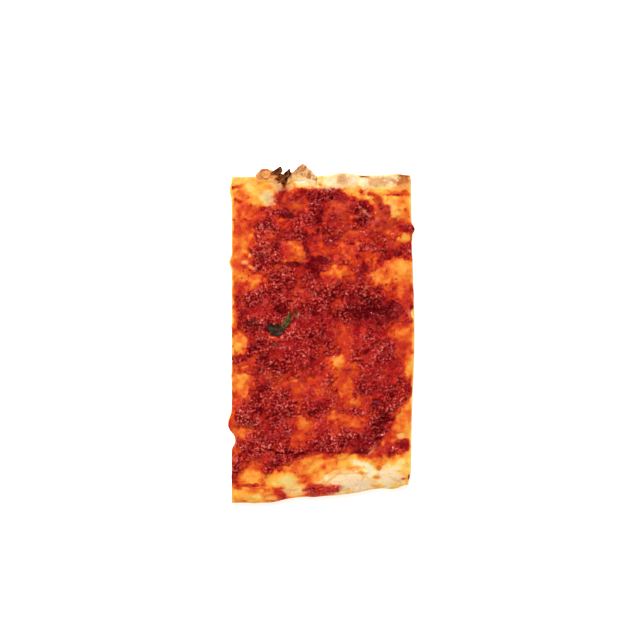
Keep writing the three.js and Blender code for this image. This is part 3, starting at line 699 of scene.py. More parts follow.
def crust_top(x, y):
    inward = np.maximum(0, from_rim(x, y))
    climb = 1 - (1 - np.minimum(1, inward / RIM_WIDTH)) ** 2
    swollen = 0
    for patch in DOUGH_PATCHES + BARE_SWELLINGS:
        depth = -outside_of(patch, x, y) / min(patch[2:4])
        swollen = swollen + patch[5] * smooth((depth + 0.35) / 1.1)
    height = RIM_HEIGHT + (CRUMB_HEIGHT - RIM_HEIGHT) * climb + swollen * smooth(inward / 12)
    return height + gentle_waves(x, y) * smooth(inward / 5)


def dough_relief(x, y):
    """Small blisters, wrinkles and grain of the bare dough."""
    near, _, which = cells(x + 2 * waves(x, y, 9, 3), y + 2 * waves(x, y, 9, 4), 7.5, 40)
    blisters = np.where(which > 0.55, 0.7 * smooth((0.42 - near) / 0.34), 0)
    return blisters + 0.3 * rough(x, y, 6, 50) + 0.1 * waves(x, y, 1.6, 60)


def broken_line(stations, x):
    """The broken line through the stations at x, and its slope there."""
    xs, ys = zip(*stations)
    slopes = np.diff(ys) / np.diff(xs)
    step = np.clip(np.searchsorted(xs, x) - 1, 0, len(slopes) - 1)
    return np.interp(x, xs, ys), slopes[step]


def inside_pulp(x, y):
    """How far inside the main layer of pulp a point lies: negative where the dough is bare."""
    far, far_slope = broken_line(PULP_FAR_END, x)
    near, near_slope = broken_line(PULP_NEAR_END, x)
    inside = np.minimum((far - y) / np.hypot(1, far_slope), (y - near) / np.hypot(1, near_slope))
    for patch in DOUGH_PATCHES:
        inside = np.minimum(inside, WINDOW_SOFTNESS * outside_of(patch, x, y))
    for side, at, half, bare in BARE_CUTS:
        to_cut = x - left_cut(y) if side < 0 else right_cut(y) - x
        inside = np.minimum(inside, to_cut - 1.6 * bare * smooth(2 - 2 * np.abs(y - at) / half) + 1.2)
    return inside


def inside_dab(lobes, x, y):
    return np.max([-outside_of(lobe, x, y) for lobe in lobes], axis=0)


def ragged(x, y):
    """How far the edge of the sauce wanders."""
    return 1.5 * waves(x, y, 5.2, 70) + 0.9 * waves(x, y, 2.3, 71) + 0.4 * waves(x, y, 1.1, 72)


def midrib(t):
    """A point of the leaf's midrib, which is one bend."""
    parts = zip(LEAF_TORN_END, LEAF_BEND, LEAF_POINT)
    return tuple((1 - t) ** 2 * a + 2 * t * (1 - t) * b + t * t * c for a, b, c in parts)


def under_leaf(x, y):
    """1 where the basil leaf lies and 0 away from it."""
    spots = [midrib(t) for t in (0.15, 0.35, 0.55, 0.75, 0.95)]
    nearest = np.min([np.hypot(x - px, y - py) for px, py in spots], axis=0)
    return smooth((8 - nearest) / 4)


def folds(x, y):
    """Depth of the shadowed steps of the pulp."""
    depth = np.zeros_like(x)
    for start, end, deep, wide in PULP_FOLDS:
        run = np.subtract(end, start)
        length = math.hypot(*run)
        wx = x - start[0] + 1.2 * waves(x, y, 5, 105)
        wy = y - start[1] + 1.2 * waves(x, y, 4, 108)
        share = np.clip((wx * run[0] + wy * run[1]) / length**2, 0, 1)
        away = np.hypot(wx - share * run[0], wy - share * run[1]) / wide
        depth = np.maximum(depth, deep * np.exp(-away * away) * smooth(4 * share * (1 - share) + 0.3))
    return depth


def grit(x, y):
    """How grainy the pulp is: 1 where it is coarse, mostly at the left, and near 0 where it is a paste."""
    return 0.25 + 0.75 * smooth(0.72 - 0.003 * x + 0.9 * waves(x, y, 9, 86) + 0.4 * waves(x, y, 3.6, 87))


def pulp_relief(x, y, grainy):
    """Clumps, grains and folds of cooked tomato, in millimetres above its mean."""
    clumps, _ = lumps(x, y, CLUMP, 78)
    coarse, _ = lumps(x, y, COARSE_GRAIN, 80)
    fine, _ = lumps(x, y, FINE_GRAIN, 90)
    _, gap, _ = cells(x / 1.5 + 2 * waves(x, y, 12, 100), y + 3 * waves(x, y, 14, 101), 8, 102)
    creased = smooth(waves(x, y, 17, 103) * 1.6 + 0.3) * smooth((0.16 - gap) / 0.16)
    ridges = 1 - np.abs(waves(x, y, 9, 107)) * 2
    rolling = 0.5 * waves(x, y, 15, 104) + 0.45 * ridges
    grains = 1.5 * (clumps - 0.42) + grainy * (1.6 * (coarse - 0.42) + 1.2 * (fine - 0.42))
    grains = (1.1 + 0.35 * waves(x, y, 16, 106)) * grains
    return grains + rolling - 0.8 * creased - folds(x, y) - 0.5 * under_leaf(x, y)


def pulp_height(inside, relief):
    """Height of the sauce over the dough: below zero outside the pulp."""
    swell = PULP_EDGE * (1 - np.exp(-np.maximum(inside, 0) / 1.4))
    swell = swell + (PULP_THICK - PULP_EDGE) * smooth(inside / PULP_SHOULDER)
    return np.where(inside < 0, 0.6 * inside, swell) + relief * smooth(inside / 5 + 0.4)


# ------------------------------------------------------------------ the face's colours, as numbers
def face_colours(x, y, inside, bare_edge=1):
    """How stained, dark, floury and scorched each point of the face is."""
    beyond = np.maximum(0, -inside)
    shade = 0.3 + 0.14 * np.clip(y / 100, -1, 1)
    covered = 0.96 - 0.22 * np.exp(-inside / 2.5)
    oily = 0.3 + 0.44 * np.exp(-beyond / 3.2)
    look = {channel: np.zeros_like(x) for channel in CHANNELS}
    look["stain"] = np.where(inside > 0, covered, oily)
    look["depth"] = np.where(inside > 0, shade + 0.24 * waves(x, y, 24, 110) + 0.24 * waves(x, y, 9, 111), 0)
    look["grit"] = grit(x, y)
    aside = 1.5 * waves(x, y, 6, 112) + 1.1 * waves(x, y, 2.4, 113)
    away = 1.5 * waves(x, y, 6, 114) + 1.1 * waves(x, y, 2.4, 115)
    broken = 0.35 * waves(x, y, 3.6, 116) + 0.25 * waves(x, y, 1.7, 117)
    for name, px, py, a, b, turn, strength in FACE:
        reach = 1.6 * max(a, b) + 3
        close = (np.abs(x - px) < reach) & (np.abs(y - py) < reach)
        if not close.any():
            continue
        bent = min(1, 0.15 + min(a, b) / 8)
        wx, wy = x[close] + bent * aside[close], y[close] + bent * away[close]
        out = outside_of((px, py, a, b, turn), wx, wy) / min(a, b) + broken[close]
        soft = max(0.9, 2.2 / min(a, b))
        share = strength * smooth((0.5 * soft - out) / soft)
        for channel, value in TONES[name].items():
            look[channel][close] = mix(look[channel][close], value, share)
    to_cut = np.minimum(x - left_cut(y), right_cut(y) - x)
    edge = smooth((1.7 + 0.8 * waves(y, x, 5, 119) - to_cut) / 1.1) * (0.75 + 0.25 * waves(y, x, 9, 120))
    edge = edge * np.where(x < 0, smooth((y + 96) / 8), 0.65 + 0.35 * waves(y, 0 * x, 26, 143))
    for channel, value in (("stain", 0.16), ("depth", 0), ("char", 0)):
        look[channel] = mix(look[channel], value, edge * bare_edge)
    stained = smooth((look["stain"] - 0.12) / 0.2) * smooth((1 - look["stain"]) / 0.12)
    uneven = 0.13 * rough(x, y, 9, 118, 2) + 0.08 * waves(x, y, 3, 121)
    look["stain"] = np.clip(look["stain"] + stained * uneven, 0, 1)
    return look


# ------------------------------------------------------------------ meshes
def crowded(count, crowding):
    """Shares from 0 to 1 that lie closer together towards both ends."""
    t = np.linspace(0, 1, count + 1)
    return t - crowding * np.sin(2 * np.pi * t) / (2 * np.pi)


def make_piece(name, points, faces, channels, finish, stands_for):
    """A closed mesh from points in millimetres, with a number per point for each channel."""
    mesh = bpy.data.meshes.new(name)
    mesh.from_pydata((np.asarray(points) * MM).tolist(), [], faces)
    for channel, values in channels.items():
        attribute = mesh.attributes.new(channel, "FLOAT", "POINT")
        attribute.data.foreach_set("value", np.asarray(values, np.float32))
    mesh.polygons.foreach_set("use_smooth", [True] * len(mesh.polygons))
    mesh.materials.append(finish)
    mesh.validate()
    piece = bpy.data.objects.new(name, mesh)
    bpy.context.scene.collection.objects.link(piece)
    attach(piece, "root")
    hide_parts(*stands_for)
    return piece


def grid_faces(columns, rows):
    """Four-sided faces of a grid of points, row by row, seen from above."""
    corner = np.arange(rows)[:, None] * (columns + 1) + np.arange(columns)[None, :]
    step = columns + 1
    return np.stack([corner, corner + 1, corner + step + 1, corner + step], axis=-1).reshape(-1, 4)


def gas_holes(along_cut, height):
    """How deep the open crumb goes at a cut."""
    wx = along_cut / 1.5 + 1.4 * waves(along_cut, height, 5, 122)
    wy = 1.5 * height + 1.4 * waves(along_cut, height, 4, 123)
    depth = np.zeros_like(height)
    for size, seed, deep in ((5.2, 124, 2.6), (2.8, 127, 1.4), (1.5, 130, 0.8)):
        near, _, which = cells(wx, wy, size, seed)
        hollow = np.sqrt(np.maximum(0, 1 - (near / (0.12 + 0.6 * which**2)) ** 2))
        depth = np.maximum(depth, deep * (0.4 + 0.6 * which) * hollow)
    return depth


def rim_lift(x, y):
    return RIM_UNDERCUT * (1 - smooth(from_rim(x, y) / 9))


def make_crust(finish):
    """The whole slab: baked face, torn crumb at the cuts, rounded rims and a flat floury underside."""
    us, vs = crowded(CRUST_COLUMNS, CRUST_CROWDING), crowded(CRUST_ROWS, CRUST_CROWDING)
    u, v = (a.ravel() for a in np.meshgrid(us, vs))
    x, y = place(u, v)
    inside = inside_pulp(x, y) + ragged(x, y)
    for lobes in SAUCE_DABS.values():
        inside = np.maximum(inside, inside_dab(lobes, x, y) + 0.5 * ragged(x, y))
    relief = dough_relief(x, y) * smooth(from_rim(x, y) / 3 + 0.2) * smooth(1 - inside / 3)
    top = crust_top(x, y) + relief
    look = face_colours(x, y, inside)
    # hollow: how deep a point lies in the dough's relief; the finish paints it as shade.
    look["hollow"] = np.clip(-0.8 * relief, 0, 1)
    look["grit"] = np.full_like(x, 0.5)
    points = [np.stack([x, y, top], axis=-1)]
    channels = {name: [look[name]] for name in CHANNELS}
    faces = grid_faces(CRUST_COLUMNS, CRUST_ROWS).tolist()

    step = CRUST_COLUMNS + 1
    border = border_of(CRUST_COLUMNS, CRUST_ROWS)
    bx, by, bz = x[border], y[border], top[border]
    column, row = border % step, border // step
    sideways = (column == CRUST_COLUMNS).astype(float) - (column == 0)
    endways = (row == CRUST_ROWS).astype(float) - (row == 0)
    foot = rim_lift(bx, by)
    count = len(border)
    ring = border
    start = len(x)
    for level in range(1, WALL_STEPS):
        share = level / WALL_STEPS
        z = mix(bz, foot, share)
        edge = smooth(share / 0.1) * smooth((1 - share) / 0.12)
        hole = gas_holes(by + 300 * sideways, z) * edge * np.abs(sideways)
        wander = 0.35 * waves(by, z, 5, 140) * np.abs(sideways) * edge
        round_out = RIM_ROUNDING * math.sin(math.pi * share) ** 0.8
        px = bx + sideways * (wander - hole)
        py = by + endways * (round_out + 0.3 * waves(bx, z, 6, 141) * math.sin(math.pi * share))
        points.append(np.stack([px, py, z], axis=-1))
        below = bz - z
        side = np.abs(sideways)
        soak = np.exp(-below / 1.1) * side
        browning = smooth(1.8 * share + 0.5 * waves(bx, z, 7, 144))
        rim_stain = mix(look["stain"][border], 0.28, browning)
        rim_flour = mix(look["flour"][border], 0.5 + 0.3 * waves(bx, z, 11, 145), browning)
        wall = {
            "stain": mix(rim_stain, look["stain"][border] * soak, side),
            "depth": look["depth"][border] * soak * 0.6,
            "flour": mix(rim_flour, 0, side),
            "char": mix(mix(look["char"][border], 0.3, share), 0, side),
            # The crumb's gas holes carry painted shade.
            "hollow": np.clip(hole / 2, 0, 1),
            "crumb": side * smooth(below / 1.2),
            "base": smooth((share - 0.8) / 0.14) * np.ones(count),
        }
        for name in CHANNELS:
            channels[name].append(wall.get(name, np.zeros(count)))
        lower = start + np.arange(count)
        start += count
        faces += np.stack([ring, lower, np.roll(lower, -1), np.roll(ring, -1)], axis=-1).tolist()
        ring = lower

    # The underside has wide faces, whose outer ones also take in every point of the border.
    wide_u = np.arange(0, CRUST_COLUMNS + 1, UNDERSIDE_STEP)
    wide_v = np.arange(0, CRUST_ROWS + 1, UNDERSIDE_STEP)
    under = {}
    under_points = []

    def under_id(i, j):
        if (i, j) not in under:
            under[i, j] = start + len(under_points)
            under_points.append(j * step + i)
        return under[i, j]

    for j0 in wide_v[:-1]:
        for i0 in wide_u[:-1]:
            i1, j1 = i0 + UNDERSIDE_STEP, j0 + UNDERSIDE_STEP
            fine_i = range(i0, i1)
            fine_j = range(j0, j1)
            west = [(i0, j) for j in fine_j] if i0 == 0 else [(i0, j0)]
            north = [(i, j1) for i in fine_i] if j1 == CRUST_ROWS else [(i0, j1)]
            east = [(i1, j) for j in reversed(range(j0 + 1, j1 + 1))] if i1 == CRUST_COLUMNS else [(i1, j1)]
            south = [(i, j0) for i in reversed(range(i0 + 1, i1 + 1))] if j0 == 0 else [(i1, j0)]
            faces.append([under_id(i, j) for i, j in west + north + east + south])
    picked = np.array(under_points)
    ux, uy = x[picked], y[picked]
    at_edge = np.isin(picked, border)
    pits = np.where(at_edge, 0, 0.35 * smooth(waves(ux, uy, 9, 150) - 0.2))
    points.append(np.stack([ux, uy, rim_lift(ux, uy) + pits], axis=-1))
    for name in CHANNELS:
        channels[name].append(np.full(len(picked), float(name == "base")))
    bottom = np.array([under[c, r] for c, r in zip(column, row)])
    faces += np.stack([ring, bottom, np.roll(bottom, -1), np.roll(ring, -1)], axis=-1).tolist()
    merged = {name: np.concatenate(values) for name, values in channels.items()}
    bits = smooth((look["stain"] - 0.42) / 0.2) * smooth(waves(x, y, 7, 142) + 0.4) * (inside < 0)
    merged["bits"] = np.zeros(len(merged["stain"]))
    merged["bits"][: len(x)] = bits
    return make_piece("baked_crust", np.concatenate(points), faces, merged, finish, ["crust"])


def border_of(columns, rows):
    """The points round a grid, against the clock seen from above."""
    step = columns + 1
    last = rows * step
    return np.concatenate([
        np.arange(columns),
        np.arange(rows) * step + columns,
        last + np.arange(columns, 0, -1),
        np.arange(rows, 0, -1) * step,
    ])


def sheet_faces(columns, rows, start=0):
    """The faces of a closed sheet: its upper grid of points, then its lower one."""
    top = grid_faces(columns, rows)
    count = (columns + 1) * (rows + 1)
    ring = border_of(columns, rows)
    after = np.roll(ring, -1)
    wall = np.stack([ring, ring + count, after + count, after], axis=-1)
    return (start + np.concatenate([top, top[:, ::-1] + count, wall])).tolist()


def make_tongues(name, tongues, finish, thickness, look_of):
    """Thin ragged tongues of crust that stand up from the far rim."""
    columns, rows = TONGUE_GRID
    s, t = (a.ravel() for a in np.meshgrid(np.linspace(0, 1, columns + 1), np.linspace(0, 1, rows + 1)))
    points, faces, looks = [], [], []
    for number, (start, end, reach, lean, peak, corner, root, rise, ripple, low_side) in enumerate(tongues):
        run = np.subtract(end, start)
        width = math.hypot(*run)
        side = run / width
        fall = np.hypot(np.where(s < peak, (peak - s) / peak, (s - peak) / (1 - peak)), 0.05)
        torn = 0.05 * waves(s * width, s * 0, 3.4, 170 + number) + 0.04 * waves(s * width, s * 0, 1.3, 172)
        length = reach * (1 - (1 - corner) * fall + torn * (1 - fall)) * t
        shift = width * s + lean * t + 0.5 * waves(t * reach, s * 0, 4, 174) * (2 * s - 1) * t
        x = start[0] + side[0] * shift - side[1] * length
        y = start[1] + side[1] * shift + side[0] * length
        crumpled = 0.5 * rough(x, y, 6, 176) + 0.25 * waves(x, y, 1.7, 180)
        z = root + rise * t**1.4 + (ripple * np.sin(7 * s + 3 * t) + crumpled) * t
        upright = smooth((s if low_side < 0 else 1 - s) / 0.5) if low_side else 1
        z = mix(crust_top(x, y), z, upright)
        z = mix(crust_top(x, y) - thickness, z, smooth(t / 0.42)) if low_side else z
        edge = np.sqrt(np.clip(np.minimum(np.minimum(s, 1 - s) * width, (1 - t) * reach) / 1.1, 0.05, 1))
        half = thickness / 2 * (1 - 0.35 * t) * edge
        count = sum(map(len, points))
        points += [np.stack([x, y, z + half], axis=-1), np.stack([x, y, z - half], axis=-1)]
        faces += sheet_faces(columns, rows, count)
        look = face_colours(x, y, -9 + 0 * x)
        own = look_of(number, s, t, x, y)
        blend = smooth((t - 0.34 + 0.1 * waves(x, y, 5, 193)) / 0.2) if low_side else 1
        look = {c: mix(look[c], own.get(c, 0 * x), blend) for c in CHANNELS}
        # hollow: the crumples' low places, painted as shade by the finish.
        look["hollow"] = np.clip(-0.8 * crumpled, 0, 1)
        looks.append({c: np.tile(look[c], 2) for c in CHANNELS})
    channels = {c: np.concatenate([look[c] for look in looks]) for c in CHANNELS}
    return make_piece(name, np.concatenate(points), faces, channels, finish, ["crust"])


def flap_look(number, s, t, x, y):
    """Toasted tan and speckled, with a scorched edge beside the crack."""
    toasted = 0.4 * smooth((t - 0.1) / 0.3) + 0.26 * waves(x, y, 3.4, 190) + 0.2 * waves(x, y, 1.3, 191)
    burnt = smooth((0.08 - s) / 0.1) if number else smooth((s - 0.6) / 0.4)
    return {
        "stain": 0.4 - 0.12 * number + 0 * s,
        "flour": (0.3 + 0.3 * number) * smooth((t - 0.2) / 0.4),
        "char": np.clip(toasted - 0.06 * number, 0.04, 1) + 0.3 * burnt * smooth(t / 0.5),
    }


def scrap_look(number, s, t, x, y):
    """Dark brown, and charred black towards the edges."""
    edge = smooth((0.16 - np.minimum(s, 1 - s)) / 0.16) + smooth((t - 0.8) / 0.2)
    return {
        "stain": 0.6 + 0 * s,
        "char": np.clip(0.74 + 0.1 * number + 0.22 * edge + 0.24 * waves(x, y, 2.2, 192), 0, 1),
    }


def make_leaf(finish):
    """A torn scrap of basil leaf, wrinkled by the heat, whose narrow end is folded along its midrib."""
    columns, rows = LEAF_GRID
    w, t = (a.ravel() for a in np.meshgrid(np.linspace(-1, 1, columns + 1), np.linspace(0, 1, rows + 1)))
    share = np.minimum(1, t / LEAF_SHARE)
    torn = 0.16 * waves(t * 26, 3 * np.sign(w), 2.2, 202) + 0.14 * waves(t * 60, np.sign(w), 2, 203)
    blade = LEAF_HALF_WIDTH * np.sin(np.pi * (0.1 + 0.86 * share)) ** 0.7 * (1 + torn)
    folded = smooth((t - LEAF_SHARE * 0.8) / 0.14)
    pointed = np.sqrt(np.clip((1 - t) / 0.2, 0.1, 1))
    narrow = FOLD_HALF_WIDTH * pointed * (1 + 0.2 * waves(t * 60, w * 0, 3, 204))
    half = mix(blade, narrow, folded)
    ridge_x, ridge_y = midrib(t)
    ahead_x, ahead_y = midrib(t + 0.01)
    pace = np.hypot(ahead_x - ridge_x, ahead_y - ridge_y)
    x = ridge_x - (ahead_y - ridge_y) / pace * w * half
    y = ridge_y + (ahead_x - ridge_x) / pace * w * half
    crinkled = 0.45 * waves(x, y, 2.6, 200) + 0.3 * waves(x, y, 1.2, 201)
    curl = 0.5 * w * w + 0.35 * np.sin(t * 16 + 2 * w) - 0.2 * np.exp(-((w / 0.12) ** 2)) + crinkled
    roof = 1.7 * (1 - np.abs(w)) + 0.4 * crinkled
    z = crust_top(x, y) + PULP_THICK + 0.9 + mix(curl, roof, folded)
    half_thick = LEAF_THICKNESS / 2 * mix(1, np.sqrt(np.clip(1 - w * w, 0.06, 1)), 0.9)
    points = np.concatenate([np.stack([x, y, z + lift], axis=-1) for lift in (half_thick, -half_thick)])
    vein = np.exp(-((w / 0.1) ** 2)) + 0.6 * np.exp(-((np.sin(26 * t - 9 * np.abs(w)) / 0.3) ** 2))
    channels = {"folded": np.tile(folded, 2), "vein": np.tile(np.clip(vein, 0, 1), 2)}
    make_piece("basil", points, sheet_faces(columns, rows), channels, finish, ["basil_leaf"])


def make_sauce(name, finish, columns, rows, span, depth_of, stands_for):
    """A closed sheet of pulp over the part of the face where its height is above the dough."""
    us = mix(span[0], span[1], np.linspace(0, 1, columns + 1))
    vs = mix(span[2], span[3], np.linspace(0, 1, rows + 1))
    u, v = (a.ravel() for a in np.meshgrid(us, vs))
    x, y = place(u, v)
    inside = depth_of(x, y)
    look = face_colours(x, y, inside, 0)
    relief = pulp_relief(x, y, look["grit"])
    dough = crust_top(x, y)
    over = pulp_height(inside, relief)
    kept = (over > -PULP_SKIRT).reshape(rows + 1, columns + 1)
    cell = kept[:-1, :-1] | kept[1:, :-1] | kept[:-1, 1:] | kept[1:, 1:]
    quads = grid_faces(columns, rows).reshape(rows, columns, 4)
    top_faces = quads[cell]

    # Sauce at a cut hangs a little over it, and its underside is tucked into the dough.
    hang = -0.5 + 0.9 * waves(y, 0 * x, 5, 160)
    out = (u >= 1).astype(float) - (u <= 0)
    top = np.stack([x + out * hang, y, dough + over], axis=-1)
    low = np.stack([x - PULP_TUCK * out, y, dough - PULP_ROOT], axis=-1)

    # Wide faces underneath where a whole block is sauce, small ones elsewhere.
    padded = np.pad(cell, ((0, -rows % PULP_BLOCK), (0, -columns % PULP_BLOCK)))
    block_rows, block_columns = padded.shape[0] // PULP_BLOCK, padded.shape[1] // PULP_BLOCK
    whole = padded.reshape(block_rows, PULP_BLOCK, block_columns, PULP_BLOCK).all(axis=(1, 3))
    wide = np.pad(whole, 1)
    count = len(x)
    width = columns + 1
    low_faces = []
    for bj in range(block_rows):
        for bi in range(block_columns):
            i0, j0 = bi * PULP_BLOCK, bj * PULP_BLOCK
            i1, j1 = i0 + PULP_BLOCK, j0 + PULP_BLOCK
            if not whole[bj, bi]:
                block = cell[j0:j1, i0:i1]
                low_faces += (quads[j0:j1, i0:i1][block][:, ::-1] + count).tolist()
                continue
            west = range(j0, j1) if not wide[bj + 1, bi] else [j0]
            north = range(i0, i1) if not wide[bj + 2, bi + 1] else [i0]
            east = range(j1, j0, -1) if not wide[bj + 1, bi + 2] else [j1]
            south = range(i1, i0, -1) if not wide[bj, bi + 1] else [i1]
            loop = [j * width + i0 for j in west] + [j1 * width + i for i in north]
            loop += [j * width + i1 for j in east] + [j0 * width + i for i in south]
            low_faces.append([k + count for k in loop])

    # The wall joins every edge that only one top face has.
    edges = {}
    for a, b, c, d in top_faces.tolist():
        for edge in ((a, b), (b, c), (c, d), (d, a)):
            edges[edge] = True
    wall = [[b, a, a + count, b + count] for a, b in edges if (b, a) not in edges]
    faces = top_faces.tolist() + low_faces + wall

    _, grain = lumps(x, y, COARSE_GRAIN, 80)
    _, small_grain = lumps(x, y, FINE_GRAIN, 90)
    chance = 0.6 * grain + 0.4 * small_grain - 0.5
    look["stain"] = np.clip(np.maximum(look["stain"], 0.7 * smooth(over)) + 0.22 * chance, 0, 1)
    # The folds also paint the sauce darker along their steps, as a painted shadow.
    look["depth"] = look["depth"] - 0.6 * chance + 0.5 * folds(x, y)
    # hollow: painted shade in the relief's hollows; peak: painted highlight on its tops.
    look["hollow"] = np.clip(-0.9 * relief - 0.1, 0, 1) * smooth(inside / 2)
    look["peak"] = smooth((relief - 0.3) / 1.1) * smooth(inside / 2)
    points = np.concatenate([top, low])
    used = np.unique(np.concatenate([np.asarray(face) for face in faces]))
    new_id = np.full(len(points), -1)
    new_id[used] = np.arange(len(used))
    faces = [new_id[face].tolist() for face in faces]
    channels = {c: np.concatenate([look[c], look[c]])[used] for c in CHANNELS}
    clumped = smooth((over - 0.5) / 0.9) * smooth(0.4 + 0.8 * waves(x, y, 11, 162)) * (1 - under_leaf(x, y))
    clumped = clumped * smooth((np.minimum(x - left_cut(y), right_cut(y) - x) - 1) / 2)
    channels["grain"] = np.concatenate([clumped, 0 * clumped])[used]
    return make_piece(name, points[used], faces, channels, finish, stands_for)


# ------------------------------------------------------------------ finishes
class Value:
    """An output of a node tree. Sums, products and powers of it add their own Math nodes."""

    def __init__(self, nodes, socket):
        self.nodes = nodes
        self.socket = socket

    def _math(self, operation, first, second):
        return self.nodes.node("Math", {"operation": operation}, {0: first, 1: second})

    def __add__(self, other):
        return self._math("ADD", self, other)

    __radd__ = __add__

    def __sub__(self, other):
        return self._math("SUBTRACT", self, other)

    def __rsub__(self, other):
        return self._math("SUBTRACT", other, self)

    def __mul__(self, other):
        return self._math("MULTIPLY", self, other)

    __rmul__ = __mul__

    def __pow__(self, other):
        return self._math("POWER", self, other)

    def beside(self, output):
        """Another output of the same node."""
        return Value(self.nodes, self.socket.node.outputs[output])


class Nodes:
    """A node tree that is written as expressions."""

    def __init__(self, tree):
        self.tree = tree

    def feed(self, socket, value):
        if isinstance(value, Value):
            self.tree.links.new(value.socket, socket)
        else:
            socket.default_value = value

    def node(self, kind, settings=None, inputs=None, output=0):
        """A node from its type, its settings and the values or links of its sockets."""
        own_type = kind.startswith(("Geometry", "Function", "NodeGroup"))
        made = self.tree.nodes.new(kind if own_type else "ShaderNode" + kind)
        for name, value in (settings or {}).items():
            if name == "stops":
                ramp = made.color_ramp.elements
                while len(ramp) < len(value):
                    ramp.new(0.5)
                for stop, (position, tint) in zip(ramp, value):
                    stop.position = position
                    stop.color = (*tint, 1)
            else:
                setattr(made, name, value)
        for name, value in (inputs or {}).items():
            self.feed(made.inputs[name], value)
        return Value(self, made.outputs[output]) if made.outputs else made

    def span(self, value, low, high, to_low=0, to_high=1):
        inputs = {"Value": value, 1: low, 2: high, 3: to_low, 4: to_high}
        return self.node("MapRange", {"interpolation_type": "SMOOTHSTEP"}, inputs)


class Finish(Nodes):
    """A material."""

    def __init__(self, name, **constants):
        self.material = bpy.data.materials.new(name)
        self.material.use_nodes = True
        super().__init__(self.material.node_tree)
        self.shader = self.tree.nodes["Principled BSDF"]
        for socket, value in constants.items():
            self.shader.inputs[socket.replace("_", " ")].default_value = value
        self.place = self.node("TexCoord", output="Object")

    def channel(self, name):
        return self.node("Attribute", {"attribute_name": name}, output="Fac")

    def noise(self, size_mm, detail=3, roughness=0.55):
        scale = 1 / (size_mm * MM)
        inputs = {"Vector": self.place, "Scale": scale, "Detail": detail, "Roughness": roughness}
        return self.node("TexNoise", None, inputs)

    def specks(self, size_mm, smallest, largest):
        """1 in small round dots about a size apart, and 0 between them."""
        dots = self.node("TexVoronoi", None, {"Vector": self.place, "Scale": 1 / (size_mm * MM)})
        return self.span(dots, largest, smallest)

    def ramp(self, value, stops):
        return self.node("ValToRGB", {"stops": stops}, {"Fac": value})

    def blend(self, under, over, share):
        return self.node("Mix", {"data_type": "RGBA"}, {0: share, 6: under, 7: over}, output=2)

    def bump(self, height, depth_mm, under=None):
        inputs = {"Height": height, "Distance": depth_mm * MM, "Strength": 1.0}
        if under is not None:
            inputs["Normal"] = under
        return self.node("Bump", None, inputs)

    def use(self, **sockets):
        for socket, value in sockets.items():
            self.feed(self.shader.inputs[socket.replace("_", " ")], value)
        return self.material


def rgb(*seen):
    """A colour as seen on screen, from 0 to 255, as the light that makes it."""
    shares = [part / 255 for part in seen]
    return tuple(s / 12.92 if s <= 0.04045 else ((s + 0.055) / 1.055) ** 2.4 for s in shares)


def colour(*seen):
    return (*rgb(*seen), 1)


